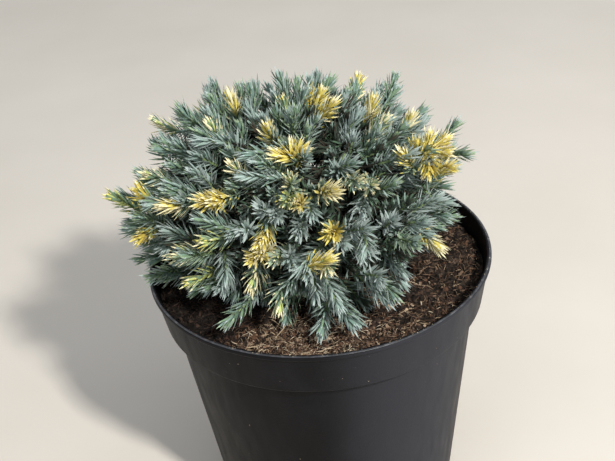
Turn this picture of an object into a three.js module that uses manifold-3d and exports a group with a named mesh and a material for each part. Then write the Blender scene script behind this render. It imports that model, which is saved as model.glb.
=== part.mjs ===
// A dwarf cushion juniper in a round nursery pot, in millimetres, +Z up.
// The origin is the centre of the pot's flat underside, and the front faces -Y.
// A short leaning stem stands in the compost. Boughs leave it in two tiers, each carries one mass of foliage,
// and one more mass stands on the stem's tip. Each mass keeps to its own sector round the hub, the point in
// the stem that the crown is measured from.
import * as THREE from "three";
import { mergeVertices } from "three/addons/utils/BufferGeometryUtils.js";
import Module from "manifold-3d";

const wasm = await Module();
wasm.setup();

// Pot
const POT_HEIGHT = 150;
const RIM_RADIUS = 95;
const BASE_RADIUS = 70;
const WALL = 1.6;
const FLOOR_THICKNESS = 2.4;
const COLLAR_HEIGHT = 25;
const COLLAR_FOOT = POT_HEIGHT - COLLAR_HEIGHT;
const COLLAR_FOOT_RADIUS = 90;
const COLLAR_STEP = 4.5;
const LIP_WIDTH = 2.6;
const LIP_HEIGHT = 3.2;
const LIP_ROUND = 0.8;
const POT_SEGMENTS = 52;
const DRAIN_HOLES = 8;
const DRAIN_RADIUS = 4.5;
const DRAIN_CIRCLE_RADIUS = 54;
const DRAIN_SEGMENTS = 8;

// Compost
const SEAT_GAP = 0.3;
// Wider than the seat gap, for the facets of the pot's inside lie within its circle.
const COMPOST_CLEARANCE = 0.5;
const COMPOST_DEPTH_BELOW_RIM = 11;
const COMPOST_TOP = POT_HEIGHT - COMPOST_DEPTH_BELOW_RIM;
const COMPOST_RELIEF = 1.1;
const COMPOST_WAVES = { alongX: 0.083, alongY: 0.071, across: 0.17 };
const COMPOST_RINGS = 5;
const COMPOST_SEGMENTS = 32;
const STEM_PATCH_RADIUS = 20;

// Crown: the reach of the shoot tips from the hub, to the sides, up, and down at the skirt. The corner is the
// exponent of the rounding: 2 is an ellipsoid, and more is boxier. Turns and elevations are in degrees.
const HUB = new THREE.Vector3(-9, 16, COMPOST_TOP + 33);
const CROWN_REACH_X = 101;
const CROWN_REACH_Y = 84;
const CROWN_REACH_UP = 65;
const CROWN_REACH_DOWN = 44;
const CROWN_CORNER = 2.7;
// Where the crown stands out of that shape or falls short of it, as a share of its reach.
const CROWN_BUMPS = [
  { name: "left_tip", turn: 187, elevation: 12, height: 0.1, spread: 8 },
  { name: "left_notch", turn: 168, elevation: 20, height: -0.24, spread: 12 },
  { name: "back_left_notch", turn: 143, elevation: 29, height: -0.06, spread: 8 },
  { name: "low_left", turn: 198, elevation: -4, height: -0.08, spread: 12 },
  { name: "left_undercut", turn: 226, elevation: -22, height: -0.24, spread: 20 },
  { name: "upper_right_tip", turn: 38, elevation: 34, height: 0.06, spread: 6 },
  { name: "right_notch", turn: 15, elevation: 25, height: -0.2, spread: 11 },
  { name: "right_undercut", turn: -20, elevation: -9, height: -0.17, spread: 24 },
  { name: "front_skirt", turn: -78, elevation: -20, height: 0.2, spread: 22 },
];
const TIERS = [
  { name: "lower", count: 8, elevation: 0, turn: 10 },
  { name: "middle", count: 6, elevation: 41, turn: 24 },
  { name: "top", count: 1, elevation: 90, turn: 0 },
];
const GROUND_ELEVATION = -49;
const SECTOR_MARGIN = 0.2;

// Stem and boughs
const STEM_FOOT = new THREE.Vector3(-5, 7, COMPOST_TOP + SEAT_GAP);
const STEM_FOOT_RADIUS = 5.4;
const STEM_TIP_RADIUS = 2.6;
const ROOT_FLARE = 3.2;
const ROOT_FLARE_HEIGHT = 6;
const BUTTRESSES = 3;
const BUTTRESS_SHARE = 0.35;
const STEM_UPRIGHT_SHARE = 0.35;
const STEM_SIDES = 10;
const STEM_STEPS = 8;
const BOUGH_SHARE = 0.34;
const BOUGH_ROOT_RADIUS = 2.5;
const BOUGH_TIP_RADIUS = 1.7;
const BOUGH_SIDES = 6;
const BOUGH_STEPS = 3;
const BOUGH_HEIGHTS = { lower: [12, 22], middle: [34, 42] };

// Foliage
const CORE_SEED = 7;
const CORE_SHARE = 0.56;
const CORE_RELIEF = 0.04;
const CORE_SPIKE = 0.19;
const CORE_SPIKE_JITTER = 0.08;
const CORE_SPIKE_TILT = 0.5;
const CORE_INNER_SHARE = 0.4;
const CORE_FLOOR = COMPOST_TOP + 7;
const MASS_STEM_RADIUS = 1.8;
const MASS_STEM_SHARE = 0.62;
const SHOOT_SEED = 41;
const SHOOTS = 136;
const LOWEST_SHOOT_ELEVATION = -23;
const SHOOT_SCATTER = 0.05;
const SHOOT_PULL = 0.1;
const SHORTEST_REACH = 0.88;
const TWIG_RADIUS = 1.6;
const TWIG_TIP_RADIUS = 0.9;
const TWIG_BEND = 0.45;
const FORK_PER_RADIAN = 2;
const LOWEST_FORK = 0.15;
const HIGHEST_FORK = 0.9;
const BARE_TWIG_SHARE = 0.2;
const LAST_WHORL_SHARE = 0.985;
const UPWARD_PULL = 0.12;
const WHORLS = 5;
const WHORL_SPACING = 5.6;
const WHORL_TWIST = 0.38;
const NEEDLES_PER_WHORL = 3;
const NEEDLE_LENGTH = 12.5;
const NEEDLE_LENGTH_AT_TIP = 8;
const NEEDLE_ANGLE = 62;
const NEEDLE_ANGLE_AT_TIP = 20;
const TIP_CLEARANCE = 4;
const SHORTER_NEEDLE = 0.7;
const CURVE_SAMPLES = 6;
const NEEDLE_CLEARANCE = 0.8;
const RIM_RAMP_START = 74;
const RIM_RAMP_END = 88;
const RIM_CLEARANCE = 2;

const UP = new THREE.Vector3(0, 0, 1);
const radians = THREE.MathUtils.degToRad;
const lerp = THREE.MathUtils.lerp;

// A small linear congruential generator, so that every run grows the same plant.
function seeded(seed) {
  let state = seed >>> 0;
  return () => {
    state = (Math.imul(state, 1664525) + 1013904223) >>> 0;
    return state / 4294967296;
  };
}

function jitter(random, share) {
  return (2 * random() - 1) * share;
}

// Conversions between three.js geometry and manifold-3d solids

function solidFrom(geometry) {
  const bare = geometry.index ? geometry.toNonIndexed() : geometry.clone();
  bare.deleteAttribute("normal");
  bare.deleteAttribute("uv");
  const merged = mergeVertices(bare, 1e-4);
  const index = merged.index.array;
  const faces = [];
  for (let i = 0; i < index.length; i += 3) {
    const [a, b, c] = [index[i], index[i + 1], index[i + 2]];
    if (a !== b && b !== c && c !== a) faces.push(a, b, c);
  }
  return new wasm.Manifold(
    new wasm.Mesh({
      numProp: 3,
      vertProperties: merged.attributes.position.array,
      triVerts: new Uint32Array(faces),
    }),
  );
}

function geometryFrom(solid) {
  const mesh = solid.getMesh();
  const geometry = new THREE.BufferGeometry();
  geometry.setAttribute("position", new THREE.BufferAttribute(mesh.vertProperties, 3));
  geometry.setIndex(new THREE.BufferAttribute(mesh.triVerts, 1));
  geometry.computeVertexNormals();
  return geometry;
}

function geometryOf(points, faces) {
  const geometry = new THREE.BufferGeometry();
  const flat = points.flatMap((p) => [p.x, p.y, p.z]);
  geometry.setAttribute("position", new THREE.Float32BufferAttribute(flat, 3));
  geometry.setIndex(faces.flat());
  geometry.computeVertexNormals();
  return geometry;
}

// The largest body alone, which drops loose scraps and fills sealed hollows.
function mainBody(solid) {
  return solid.decompose().reduce((best, body) => (body.volume() > best.volume() ? body : best));
}

// Pot: a thin tapered wall, a deep collar that steps out over it, and a rolled lip.

function potWallRadius(z) {
  return lerp(BASE_RADIUS, COLLAR_FOOT_RADIUS - COLLAR_STEP, z / COLLAR_FOOT);
}

function collarRadius(z) {
  return lerp(COLLAR_FOOT_RADIUS, RIM_RADIUS - LIP_ROUND, (z - COLLAR_FOOT) / COLLAR_HEIGHT);
}

// The inside of the pot from its floor to the underside of the lip, as radius and height.
function potInside() {
  const shoulder = COLLAR_FOOT + WALL + 1;
  return [
    [potWallRadius(FLOOR_THICKNESS) - WALL, FLOOR_THICKNESS],
    [potWallRadius(COLLAR_FOOT - 1) - WALL, COLLAR_FOOT - 1],
    [collarRadius(shoulder) - WALL, shoulder],
    [RIM_RADIUS - LIP_WIDTH, POT_HEIGHT - 1],
  ];
}

function lathe(profile, segments) {
  const points = profile.map(([r, z]) => new THREE.Vector2(r, z));
  return new THREE.LatheGeometry(points, segments).rotateX(Math.PI / 2);
}

function makePot() {
  const lipFoot = POT_HEIGHT - LIP_HEIGHT;
  const outside = [
    [0, 0],
    [BASE_RADIUS - 2, 0],
    [BASE_RADIUS, 2],
    [potWallRadius(COLLAR_FOOT - 2), COLLAR_FOOT - 2],
    [COLLAR_FOOT_RADIUS - LIP_ROUND, COLLAR_FOOT - LIP_ROUND],
    [COLLAR_FOOT_RADIUS, COLLAR_FOOT + LIP_ROUND],
    [collarRadius(lipFoot), lipFoot],
    [RIM_RADIUS, lipFoot + LIP_ROUND],
    [RIM_RADIUS, POT_HEIGHT - LIP_ROUND],
    [RIM_RADIUS - LIP_ROUND, POT_HEIGHT],
    [RIM_RADIUS - LIP_WIDTH, POT_HEIGHT],
  ];
  const inside = [[0, FLOOR_THICKNESS], ...potInside()].reverse();
  let pot = solidFrom(lathe([...outside, ...inside], POT_SEGMENTS));
  for (let i = 0; i < DRAIN_HOLES; i++) {
    const turn = (2 * Math.PI * i) / DRAIN_HOLES;
    const hole = new THREE.CylinderGeometry(DRAIN_RADIUS, DRAIN_RADIUS, 3 * FLOOR_THICKNESS, DRAIN_SEGMENTS)
      .rotateX(Math.PI / 2)
      .translate(DRAIN_CIRCLE_RADIUS * Math.cos(turn), DRAIN_CIRCLE_RADIUS * Math.sin(turn), 0);
    pot = pot.subtract(solidFrom(hole));
  }
  return geometryFrom(pot);
}

// Compost: fills the pot to a little under the lip, gently uneven, and level round the stem.

function compostHeight(x, y) {
  const fromStem = Math.hypot(x - STEM_FOOT.x, y - STEM_FOOT.y);
  const level = THREE.MathUtils.smoothstep(fromStem, STEM_PATCH_RADIUS, 3 * STEM_PATCH_RADIUS);
  const broad = Math.sin(COMPOST_WAVES.alongX * x + 1) * Math.cos(COMPOST_WAVES.alongY * y);
  const fine = 0.5 * Math.sin(COMPOST_WAVES.across * (x + y));
  return COMPOST_TOP + COMPOST_RELIEF * level * (broad + fine);
}

function makeCompost() {
  const points = [];
  const faces = [];
  const addRing = (radius, heightAt) => {
    for (let i = 0; i < COMPOST_SEGMENTS; i++) {
      const turn = (2 * Math.PI * i) / COMPOST_SEGMENTS;
      const [x, y] = [radius * Math.cos(turn), radius * Math.sin(turn)];
      points.push(new THREE.Vector3(x, y, heightAt(x, y)));
    }
  };
  const [floor, wallTop, shoulder, lip] = potInside();
  const foot = floor[1] + COMPOST_CLEARANCE;
  const share = (COMPOST_TOP - shoulder[1]) / (lip[1] - shoulder[1]);
  const edge = lerp(shoulder[0], lip[0], share) - COMPOST_CLEARANCE;
  addRing(floor[0] - COMPOST_CLEARANCE, () => foot);
  addRing(wallTop[0] - COMPOST_CLEARANCE, () => wallTop[1]);
  addRing(shoulder[0] - COMPOST_CLEARANCE, () => shoulder[1] + COMPOST_CLEARANCE);
  for (let ring = COMPOST_RINGS; ring > 0; ring--) {
    addRing((edge * ring) / COMPOST_RINGS, compostHeight);
  }
  const rings = points.length / COMPOST_SEGMENTS;
  const bottom = points.push(new THREE.Vector3(0, 0, foot)) - 1;
  const top = points.push(new THREE.Vector3(0, 0, compostHeight(0, 0))) - 1;
  for (let i = 0; i < COMPOST_SEGMENTS; i++) {
    const next = (i + 1) % COMPOST_SEGMENTS;
    faces.push([bottom, next, i]);
    for (let ring = 0; ring + 1 < rings; ring++) {
      const [low, high] = [ring * COMPOST_SEGMENTS, (ring + 1) * COMPOST_SEGMENTS];
      faces.push([low + i, low + next, high + next], [low + i, high + next, high + i]);
    }
    const last = (rings - 1) * COMPOST_SEGMENTS;
    faces.push([last + i, last + next, top]);
  }
  return geometryOf(points, faces);
}

// Limbs: tapering tubes along a curve, with flat ends.

// Two directions square to the curve at each step, carried along it without a twist.
function framesAlong(curve, shares) {
  const frames = [];
  let side = null;
  for (const share of shares) {
    const along = curve.getTangent(share);
    if (!side) side = Math.abs(along.z) > 0.9 ? new THREE.Vector3(1, 0, 0) : UP.clone();
    side = side.clone().addScaledVector(along, -side.dot(along)).normalize();
    frames.push({ at: curve.getPoint(share), along, side, across: along.clone().cross(side) });
  }
  return frames;
}

function ringPoint(frame, radius, turn) {
  return frame.at
    .clone()
    .addScaledVector(frame.side, radius * Math.cos(turn))
    .addScaledVector(frame.across, radius * Math.sin(turn));
}

function limb(curve, steps, sides, radiusAt) {
  const shares = Array.from({ length: steps + 1 }, (_, i) => i / steps);
  const frames = framesAlong(curve, shares);
  const points = [];
  const faces = [];
  frames.forEach((frame, step) => {
    for (let i = 0; i < sides; i++) {
      const turn = (2 * Math.PI * i) / sides;
      points.push(ringPoint(frame, radiusAt(shares[step], turn), turn));
    }
  });
  const [root, tip] = [points.push(frames[0].at) - 1, points.push(frames[steps].at) - 1];
  for (let i = 0; i < sides; i++) {
    const next = (i + 1) % sides;
    faces.push([root, next, i], [tip, steps * sides + i, steps * sides + next]);
    for (let step = 0; step < steps; step++) {
      const [low, high] = [step * sides, (step + 1) * sides];
      faces.push([low + i, low + next, high + next], [low + i, high + next, high + i]);
    }
  }
  return geometryOf(points, faces);
}

// Upright at the foot and at the tip, and leaning back and to the left between them.
function stemCurve() {
  const tip = HUB.clone().addScaledVector(UP, BOUGH_SHARE * crownReach(UP) - SEAT_GAP);
  const rise = tip.z - STEM_FOOT.z;
  const low = STEM_FOOT.clone().addScaledVector(UP, STEM_UPRIGHT_SHARE * rise);
  const high = tip.clone().addScaledVector(UP, -STEM_UPRIGHT_SHARE * rise);
  return new THREE.CubicBezierCurve3(STEM_FOOT, low, high, tip);
}

function stemPointAt(height) {
  const curve = stemCurve();
  const share = (STEM_FOOT.z + height - curve.v0.z) / (curve.v3.z - curve.v0.z);
  return curve.getPoint(share);
}

// The foot is flat on the compost, with low buttresses where the roots go down.
function makeStem(grown = 0) {
  const curve = stemCurve();
  const rise = curve.v3.z - curve.v0.z;
  return limb(curve, STEM_STEPS, STEM_SIDES, (share, turn) => {
    const flare = Math.max(0, 1 - (share * rise) / ROOT_FLARE_HEIGHT) ** 2;
    const buttress = 1 + BUTTRESS_SHARE * Math.cos(BUTTRESSES * turn);
    return lerp(STEM_FOOT_RADIUS, STEM_TIP_RADIUS, share) + ROOT_FLARE * flare * buttress + grown;
  });
}

// Masses: their directions from the hub, and the sector that each one keeps to.

function direction(turnDegrees, elevationDegrees) {
  const [turn, elevation] = [radians(turnDegrees), radians(elevationDegrees)];
  return new THREE.Vector3(
    Math.cos(turn) * Math.cos(elevation),
    Math.sin(turn) * Math.cos(elevation),
    Math.sin(elevation),
  );
}

function massList() {
  const masses = [];
  for (const tier of TIERS) {
    for (let i = 0; i < tier.count; i++) {
      const name = `${tier.name}_${String(i + 1).padStart(2, "0")}`;
      const aim = direction(tier.turn + (360 * i) / tier.count, tier.elevation);
      masses.push({ tier: tier.name, index: i, name, aim });
    }
  }
  return masses;
}

// Below the lower tier lies the ground's own share of directions, which no mass enters.
function groundDirections() {
  const { turn, count } = TIERS[0];
  return Array.from({ length: count }, (_, i) => direction(turn + (360 * i) / count, GROUND_ELEVATION));
}

function sectorNormals(mass, masses) {
  const others = [...masses.filter((m) => m !== mass).map((m) => m.aim), ...groundDirections()];
  return others.map((aim) => mass.aim.clone().sub(aim).normalize());
}

function insideSector(point, normals, margin) {
  const fromHub = point.clone().sub(HUB);
  return normals.every((n) => fromHub.dot(n) > margin);
}

function crownReach(aim) {
  const vertical = aim.z > 0 ? CROWN_REACH_UP : CROWN_REACH_DOWN;
  const parts = [aim.x / CROWN_REACH_X, aim.y / CROWN_REACH_Y, aim.z / vertical];
  const sum = parts.reduce((total, part) => total + Math.abs(part) ** CROWN_CORNER, 0);
  const bumps = CROWN_BUMPS.reduce((total, bump) => {
    const away = aim.angleTo(direction(bump.turn, bump.elevation)) / radians(bump.spread);
    return total + bump.height * Math.exp(-away * away);
  }, 1);
  return bumps * sum ** (-1 / CROWN_CORNER);
}

// The lowest that foliage may reach: just over the compost, and over the lip where it crosses the pot's edge.
function foliageFloor(x, y) {
  const ramp = THREE.MathUtils.clamp(
    (Math.hypot(x, y) - RIM_RAMP_START) / (RIM_RAMP_END - RIM_RAMP_START),
    0,
    1,
  );
  return lerp(compostHeight(x, y), POT_HEIGHT + RIM_CLEARANCE - NEEDLE_CLEARANCE, ramp);
}

// Boughs: from the stem's side, rising a little, to the root of the mass they carry.
function makeBough(mass, stemClearance) {
  const heights = BOUGH_HEIGHTS[mass.tier];
  const root = stemPointAt(heights[mass.index % heights.length]);
  const end = HUB.clone().addScaledVector(mass.aim, BOUGH_SHARE * crownReach(mass.aim) - SEAT_GAP);
  const reach = end.distanceTo(root);
  const bend = end.clone().addScaledVector(mass.aim, -0.5 * reach);
  const curve = new THREE.QuadraticBezierCurve3(root, bend, end);
  const radiusAt = (share) => lerp(BOUGH_ROOT_RADIUS, BOUGH_TIP_RADIUS, share);
  const tube = limb(curve, BOUGH_STEPS, BOUGH_SIDES, radiusAt);
  return geometryFrom(mainBody(solidFrom(tube).subtract(stemClearance)));
}

// A twig and its spray of needles: a three-sided core, with whorls of three needles that stand out of it.
// Each whorl is turned on from the last, and a needle is a face of the core drawn out to a point.
// A needle that has no room is tried shorter, and then left out.
function makeSpray(curve, isFree) {
  const sides = NEEDLES_PER_WHORL;
  const first = Math.max(BARE_TWIG_SHARE, 1 - (WHORLS * WHORL_SPACING) / curve.getLength());
  const shares = [0];
  for (let i = 0; i <= WHORLS; i++) shares.push(lerp(first, LAST_WHORL_SHARE, i / WHORLS));
  const frames = framesAlong(curve, shares);
  const turnOf = (ring, i) => (2 * Math.PI * (i + ring * WHORL_TWIST)) / sides;
  const points = [];
  const faces = [[2, 1, 0]];
  frames.forEach((frame, ring) => {
    const radius = lerp(TWIG_RADIUS, TWIG_TIP_RADIUS, shares[ring]);
    for (let i = 0; i < sides; i++) points.push(ringPoint(frame, radius, turnOf(ring, i)));
  });
  for (let ring = 0; ring + 1 < frames.length; ring++) {
    for (let i = 0; i < sides; i++) {
      const next = (i + 1) % sides;
      const [a, b] = [ring * sides + i, ring * sides + next];
      const [c, d] = [(ring + 1) * sides + i, (ring + 1) * sides + next];
      faces.push([b, d, c]);
      const tries = ring > 0 ? [1, SHORTER_NEEDLE] : [];
      const turn = turnOf(ring + 1, i);
      const needle = tries.map((cutTo) => needlePoint(frames[ring], ring - 1, turn, cutTo)).find(isFree);
      if (needle) {
        const apex = points.push(needle) - 1;
        faces.push([a, b, apex], [b, c, apex], [c, a, apex]);
      } else {
        faces.push([a, b, c]);
      }
    }
  }
  const last = (frames.length - 1) * sides;
  const bud = curve.getPoint(1).addScaledVector(curve.getTangent(1), 0.5 * NEEDLE_LENGTH_AT_TIP);
  const tip = points.push(bud) - 1;
  for (let i = 0; i < sides; i++) faces.push([last + i, last + ((i + 1) % sides), tip]);
  return geometryOf(points, faces);
}

function needlePoint(frame, whorl, turn, cutTo) {
  const share = whorl / (WHORLS - 1);
  const angle = radians(lerp(NEEDLE_ANGLE, NEEDLE_ANGLE_AT_TIP, share ** 1.5));
  const length = cutTo * lerp(NEEDLE_LENGTH, NEEDLE_LENGTH_AT_TIP, share);
  return ringPoint(frame, TWIG_RADIUS + length * Math.sin(angle), turn).addScaledVector(
    frame.along,
    length * Math.cos(angle),
  );
}

// The shoots of the whole crown, spread evenly over it along a spiral that turns by the golden angle, and then
// scattered a little. Each belongs to the mass whose direction is nearest, and is pulled a little towards it.
function shootList(masses) {
  const random = seeded(SHOOT_SEED);
  const goldenTurn = 180 * (3 - Math.sqrt(5));
  const lowest = Math.sin(radians(LOWEST_SHOOT_ELEVATION));
  const shoots = [];
  for (let i = 0; i < SHOOTS; i++) {
    const rise = lerp(1, lowest, (i + 0.5) / SHOOTS);
    const aim = direction(goldenTurn * i, THREE.MathUtils.radToDeg(Math.asin(rise)));
    aim.x += jitter(random, SHOOT_SCATTER);
    aim.y += jitter(random, SHOOT_SCATTER);
    aim.z += jitter(random, SHOOT_SCATTER);
    aim.normalize();
    const mass = masses.reduce((best, m) => (m.aim.dot(aim) > best.aim.dot(aim) ? m : best));
    aim.lerp(mass.aim, SHOOT_PULL).normalize();
    const reach = crownReach(aim) * lerp(SHORTEST_REACH, 1, random());
    const tip = HUB.clone().addScaledVector(aim, reach);
    tip.z = Math.max(tip.z, foliageFloor(tip.x, tip.y) + TIP_CLEARANCE);
    shoots.push({ mass, aim, tip });
  }
  return shoots;
}

// The curve of one twig, from its place on the mass's stem to its tip, where it points away from the hub.
function twigCurve(root, tip) {
  const outward = tip.clone().sub(HUB).normalize();
  const finish = outward.addScaledVector(UP, UPWARD_PULL).normalize();
  const bend = tip.clone().addScaledVector(finish, -TWIG_BEND * tip.distanceTo(root));
  return new THREE.QuadraticBezierCurve3(root, bend, tip);
}

function halfSpaceBehind(normal, offset) {
  const size = 600;
  const box = new THREE.BoxGeometry(size, size, size).translate(0, 0, -size / 2);
  const turn = new THREE.Quaternion().setFromUnitVectors(UP, normal);
  const at = HUB.clone().addScaledVector(normal, offset);
  return solidFrom(box.applyQuaternion(turn).translate(at.x, at.y, at.z));
}

// The dense heart of the crown, which the cores of the masses are cut from: hollow round the boughs, lumpy,
// and with each face drawn out to a point, like packed shoots.
function crownHeart() {
  const random = seeded(CORE_SEED);
  const sphere = new THREE.IcosahedronGeometry(1, 2);
  sphere.deleteAttribute("normal");
  sphere.deleteAttribute("uv");
  const merged = mergeVertices(sphere, 1e-4);
  const place = (aim, share) => HUB.clone().addScaledVector(aim, crownReach(aim) * share);
  const aims = [];
  for (let i = 0; i < merged.attributes.position.count; i++) {
    aims.push(new THREE.Vector3().fromBufferAttribute(merged.attributes.position, i).normalize());
  }
  const points = aims.map((aim) => place(aim, CORE_SHARE + jitter(random, CORE_RELIEF)));
  const faces = [];
  for (let i = 0; i < merged.index.count; i += 3) {
    const [a, b, c] = [0, 1, 2].map((k) => merged.index.getX(i + k));
    const aim = new THREE.Vector3();
    for (const corner of [a, b, c]) {
      aim.addScaledVector(aims[corner], 1 + jitter(random, CORE_SPIKE_TILT));
    }
    const share = CORE_SHARE + CORE_SPIKE + jitter(random, CORE_SPIKE_JITTER);
    const peak = points.push(place(aim.normalize(), share)) - 1;
    faces.push([a, b, peak], [b, c, peak], [c, a, peak]);
  }
  const hollow = new THREE.IcosahedronGeometry(CORE_INNER_SHARE, 1)
    .scale(CROWN_REACH_X, CROWN_REACH_Y, CROWN_REACH_UP)
    .translate(HUB.x, HUB.y, HUB.z);
  const below = new THREE.BoxGeometry(400, 400, 200).translate(0, 0, CORE_FLOOR - 100);
  return solidFrom(geometryOf(points, faces)).subtract(solidFrom(hollow)).subtract(solidFrom(below));
}

function distanceTo(curve, point) {
  const corners = curve.getPoints(CURVE_SAMPLES);
  let nearest = Infinity;
  for (let i = 0; i < CURVE_SAMPLES; i++) {
    const piece = new THREE.Line3(corners[i], corners[i + 1]);
    const foot = piece.closestPointToPoint(point, true, new THREE.Vector3());
    nearest = Math.min(nearest, foot.distanceTo(point));
  }
  return nearest;
}

// One mass: its sector of the core, its stem, and its shoots, fused. A needle stands only where it stays in
// the sector, clear of the compost and the pot, and nearer to its own twig than to the others.
function makeMass(mass, masses, shoots, heart) {
  const normals = sectorNormals(mass, masses);
  const rootRadius = mass.tier === "top" ? STEM_TIP_RADIUS : MASS_STEM_RADIUS;
  const stem = new THREE.LineCurve3(
    HUB.clone().addScaledVector(mass.aim, BOUGH_SHARE * crownReach(mass.aim)),
    HUB.clone().addScaledVector(mass.aim, MASS_STEM_SHARE * crownReach(mass.aim)),
  );
  const radiusAt = (share) => lerp(rootRadius, MASS_STEM_RADIUS, share);
  let solid = normals.reduce((core, n) => core.subtract(halfSpaceBehind(n, SECTOR_MARGIN)), heart);
  solid = solid.add(solidFrom(limb(stem, 2, BOUGH_SIDES, radiusAt)));
  const twigs = shoots
    .filter((shoot) => shoot.mass === mass)
    .map(({ aim, tip }) => {
      const fork = 1 - FORK_PER_RADIAN * aim.angleTo(mass.aim);
      return twigCurve(stem.getPoint(THREE.MathUtils.clamp(fork, LOWEST_FORK, HIGHEST_FORK)), tip);
    });
  for (const twig of twigs) {
    const others = twigs.filter((other) => other !== twig);
    const isFree = (p) =>
      insideSector(p, normals, SECTOR_MARGIN) &&
      p.z > foliageFloor(p.x, p.y) + NEEDLE_CLEARANCE &&
      others.every((other) => distanceTo(other, p) > distanceTo(twig, p));
    solid = solid.add(solidFrom(makeSpray(twig, isFree)));
  }
  return geometryFrom(mainBody(solid));
}

// Materials
const black = new THREE.MeshStandardMaterial({ color: 0x2a2b2d, roughness: 0.55, metalness: 0 });
const brown = new THREE.MeshStandardMaterial({ color: 0x3d2c20, roughness: 1, metalness: 0 });
const bark = new THREE.MeshStandardMaterial({ color: 0x6b4a35, roughness: 0.95, metalness: 0 });
const needles = new THREE.MeshStandardMaterial({ color: 0x7f9c96, roughness: 0.7, metalness: 0 });

function named(name, geometry, material) {
  const mesh = new THREE.Mesh(geometry, material);
  mesh.name = name;
  return mesh;
}

const plant = new THREE.Group();
plant.add(named("pot", makePot(), black));
plant.add(named("compost", makeCompost(), brown));
plant.add(named("stem", makeStem(), bark));
const masses = massList();
const shoots = shootList(masses);
const stemClearance = solidFrom(makeStem(SEAT_GAP));
const heart = crownHeart();
for (const mass of masses) {
  if (mass.tier !== "top") plant.add(named(`bough_${mass.name}`, makeBough(mass, stemClearance), bark));
  plant.add(named(`foliage_${mass.name}`, makeMass(mass, masses, shoots, heart), needles));
}

export default plant;
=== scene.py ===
# The looks of a dwarf cushion juniper in a round nursery pot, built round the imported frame.
# Sizes are in millimetres, and each mesh is turned into metres as it is made.
import collections
import itertools
import math

import bpy
import numpy as np
from mathutils import Matrix


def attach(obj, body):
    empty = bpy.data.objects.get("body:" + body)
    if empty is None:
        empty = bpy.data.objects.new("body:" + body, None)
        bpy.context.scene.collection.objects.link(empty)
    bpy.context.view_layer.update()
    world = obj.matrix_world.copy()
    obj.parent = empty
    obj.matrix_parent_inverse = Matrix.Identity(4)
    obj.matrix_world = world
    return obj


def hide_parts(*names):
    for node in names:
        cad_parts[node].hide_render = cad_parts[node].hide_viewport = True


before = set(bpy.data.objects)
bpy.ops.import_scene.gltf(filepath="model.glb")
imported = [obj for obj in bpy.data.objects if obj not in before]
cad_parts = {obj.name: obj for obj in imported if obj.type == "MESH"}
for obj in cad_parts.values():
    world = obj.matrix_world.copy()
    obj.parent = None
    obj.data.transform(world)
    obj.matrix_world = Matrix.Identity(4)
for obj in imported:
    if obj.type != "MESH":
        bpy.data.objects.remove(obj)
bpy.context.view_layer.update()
MM = 0.001
# Cells after which the noise repeats.
NOISE_LATTICE = 64

# Camera of the photograph. The pixels are those of its 615 x 461 frame.
FRAME_WIDTH_PX = 615
FRAME_HEIGHT_PX = 461
FOCAL_PX = 1100
CAMERA_DISTANCE = 613.5
CAMERA_ELEVATION = 32.4
CAMERA_ROLL = -5.45
CAMERA_PAN_PX = (11.5, 21.1)
SENSOR_WIDTH = 36
CLIP_START = 0.01
CLIP_END = 50

# Pot
POT_HEIGHT = 150
RIM_RADIUS = 95
BASE_RADIUS = 70
WALL = 1.6
FLOOR_THICKNESS = 2.4
COLLAR_HEIGHT = 25
COLLAR_FOOT = POT_HEIGHT - COLLAR_HEIGHT
COLLAR_FOOT_RADIUS = 90
COLLAR_STEP = 4.5
COLLAR_UNDERSIDE = COLLAR_FOOT - 1.2
COLLAR_EDGE_RADIUS = COLLAR_FOOT_RADIUS - 1.4
COLLAR_ROUND = 1.1
COLLAR_ROUND_HEIGHT = COLLAR_FOOT - 0.1
LIP_WIDTH = 2.6
LIP_HEIGHT = 3.2
LIP_ROUND = 0.8
LIP_FOOT_RISE = 1.1
INNER_LIP_RADIUS = RIM_RADIUS - LIP_WIDTH + LIP_ROUND
INNER_EASE = 1
RUBBED_RADIUS = 93.7
BASE_ROUND = 2
POT_SEGMENTS = 192
WALL_STEPS = 12
COLLAR_STEPS = 6
SHARP_ANGLE = 35
DRAIN_HOLES = 8
DRAIN_RADIUS = 4.5
DRAIN_CIRCLE_RADIUS = 54
UNDERSIDE_RING = DRAIN_CIRCLE_RADIUS - 12
DRILL_FOOT = -3
DRILL_TOP = 3 * FLOOR_THICKNESS
DRAIN_SIDES = 32
# Painted sheen: the pot's wall is paler where it faces this way, towards the key light.
PAINTED_SHEEN_SIDE = (0.6, -0.8, 0.0)
PAINTED_SHEEN_FROM = 0.72
PAINTED_SHEEN_COLOUR = "#2a2b30"
# Specks of dirt on the lip, and on the bands of the pot's outside between two heights.
LIP_SPECKS = 280
COLLAR_SPECKS = (64, COLLAR_FOOT + 2, POT_HEIGHT - LIP_HEIGHT - 2)
WALL_SPECKS = (44, 15, COLLAR_FOOT - 5)
SPECK_SIZES = (0.1, 0.3)
SPECK_SIDES = (0.6, 1.2)
SPECK_DENTS = 0.3

# Compost
SEAT_GAP = 0.3
COMPOST_TOP = POT_HEIGHT - 11
COMPOST_RELIEF = 1.1
COMPOST_WAVES = {"along_x": 0.083, "along_y": 0.071, "across": 0.17}
WAVE_PHASE = 1
FINE_WAVES = 0.5
COMPOST_CLEARANCE = 0.3
# Distances from the stem: up to the first the compost is level, and from the second on fully in relief.
LEVEL_PATCH = (20, 60)
COMPOST_CELLS = 150
# Width of the clods on the surface, and how high they stand.
CLOD_CELLS = {13.0: 1.5, 5.2: 1.3, 2.3: 0.7}
CLOD_SEED = 20
CLOD_SHIFT = 200
LITTER_SEED = 17
LITTER_MARGIN = 1.5
EDGE_MARGIN = 1
STEM_CLEARANCE = 8.0
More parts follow.
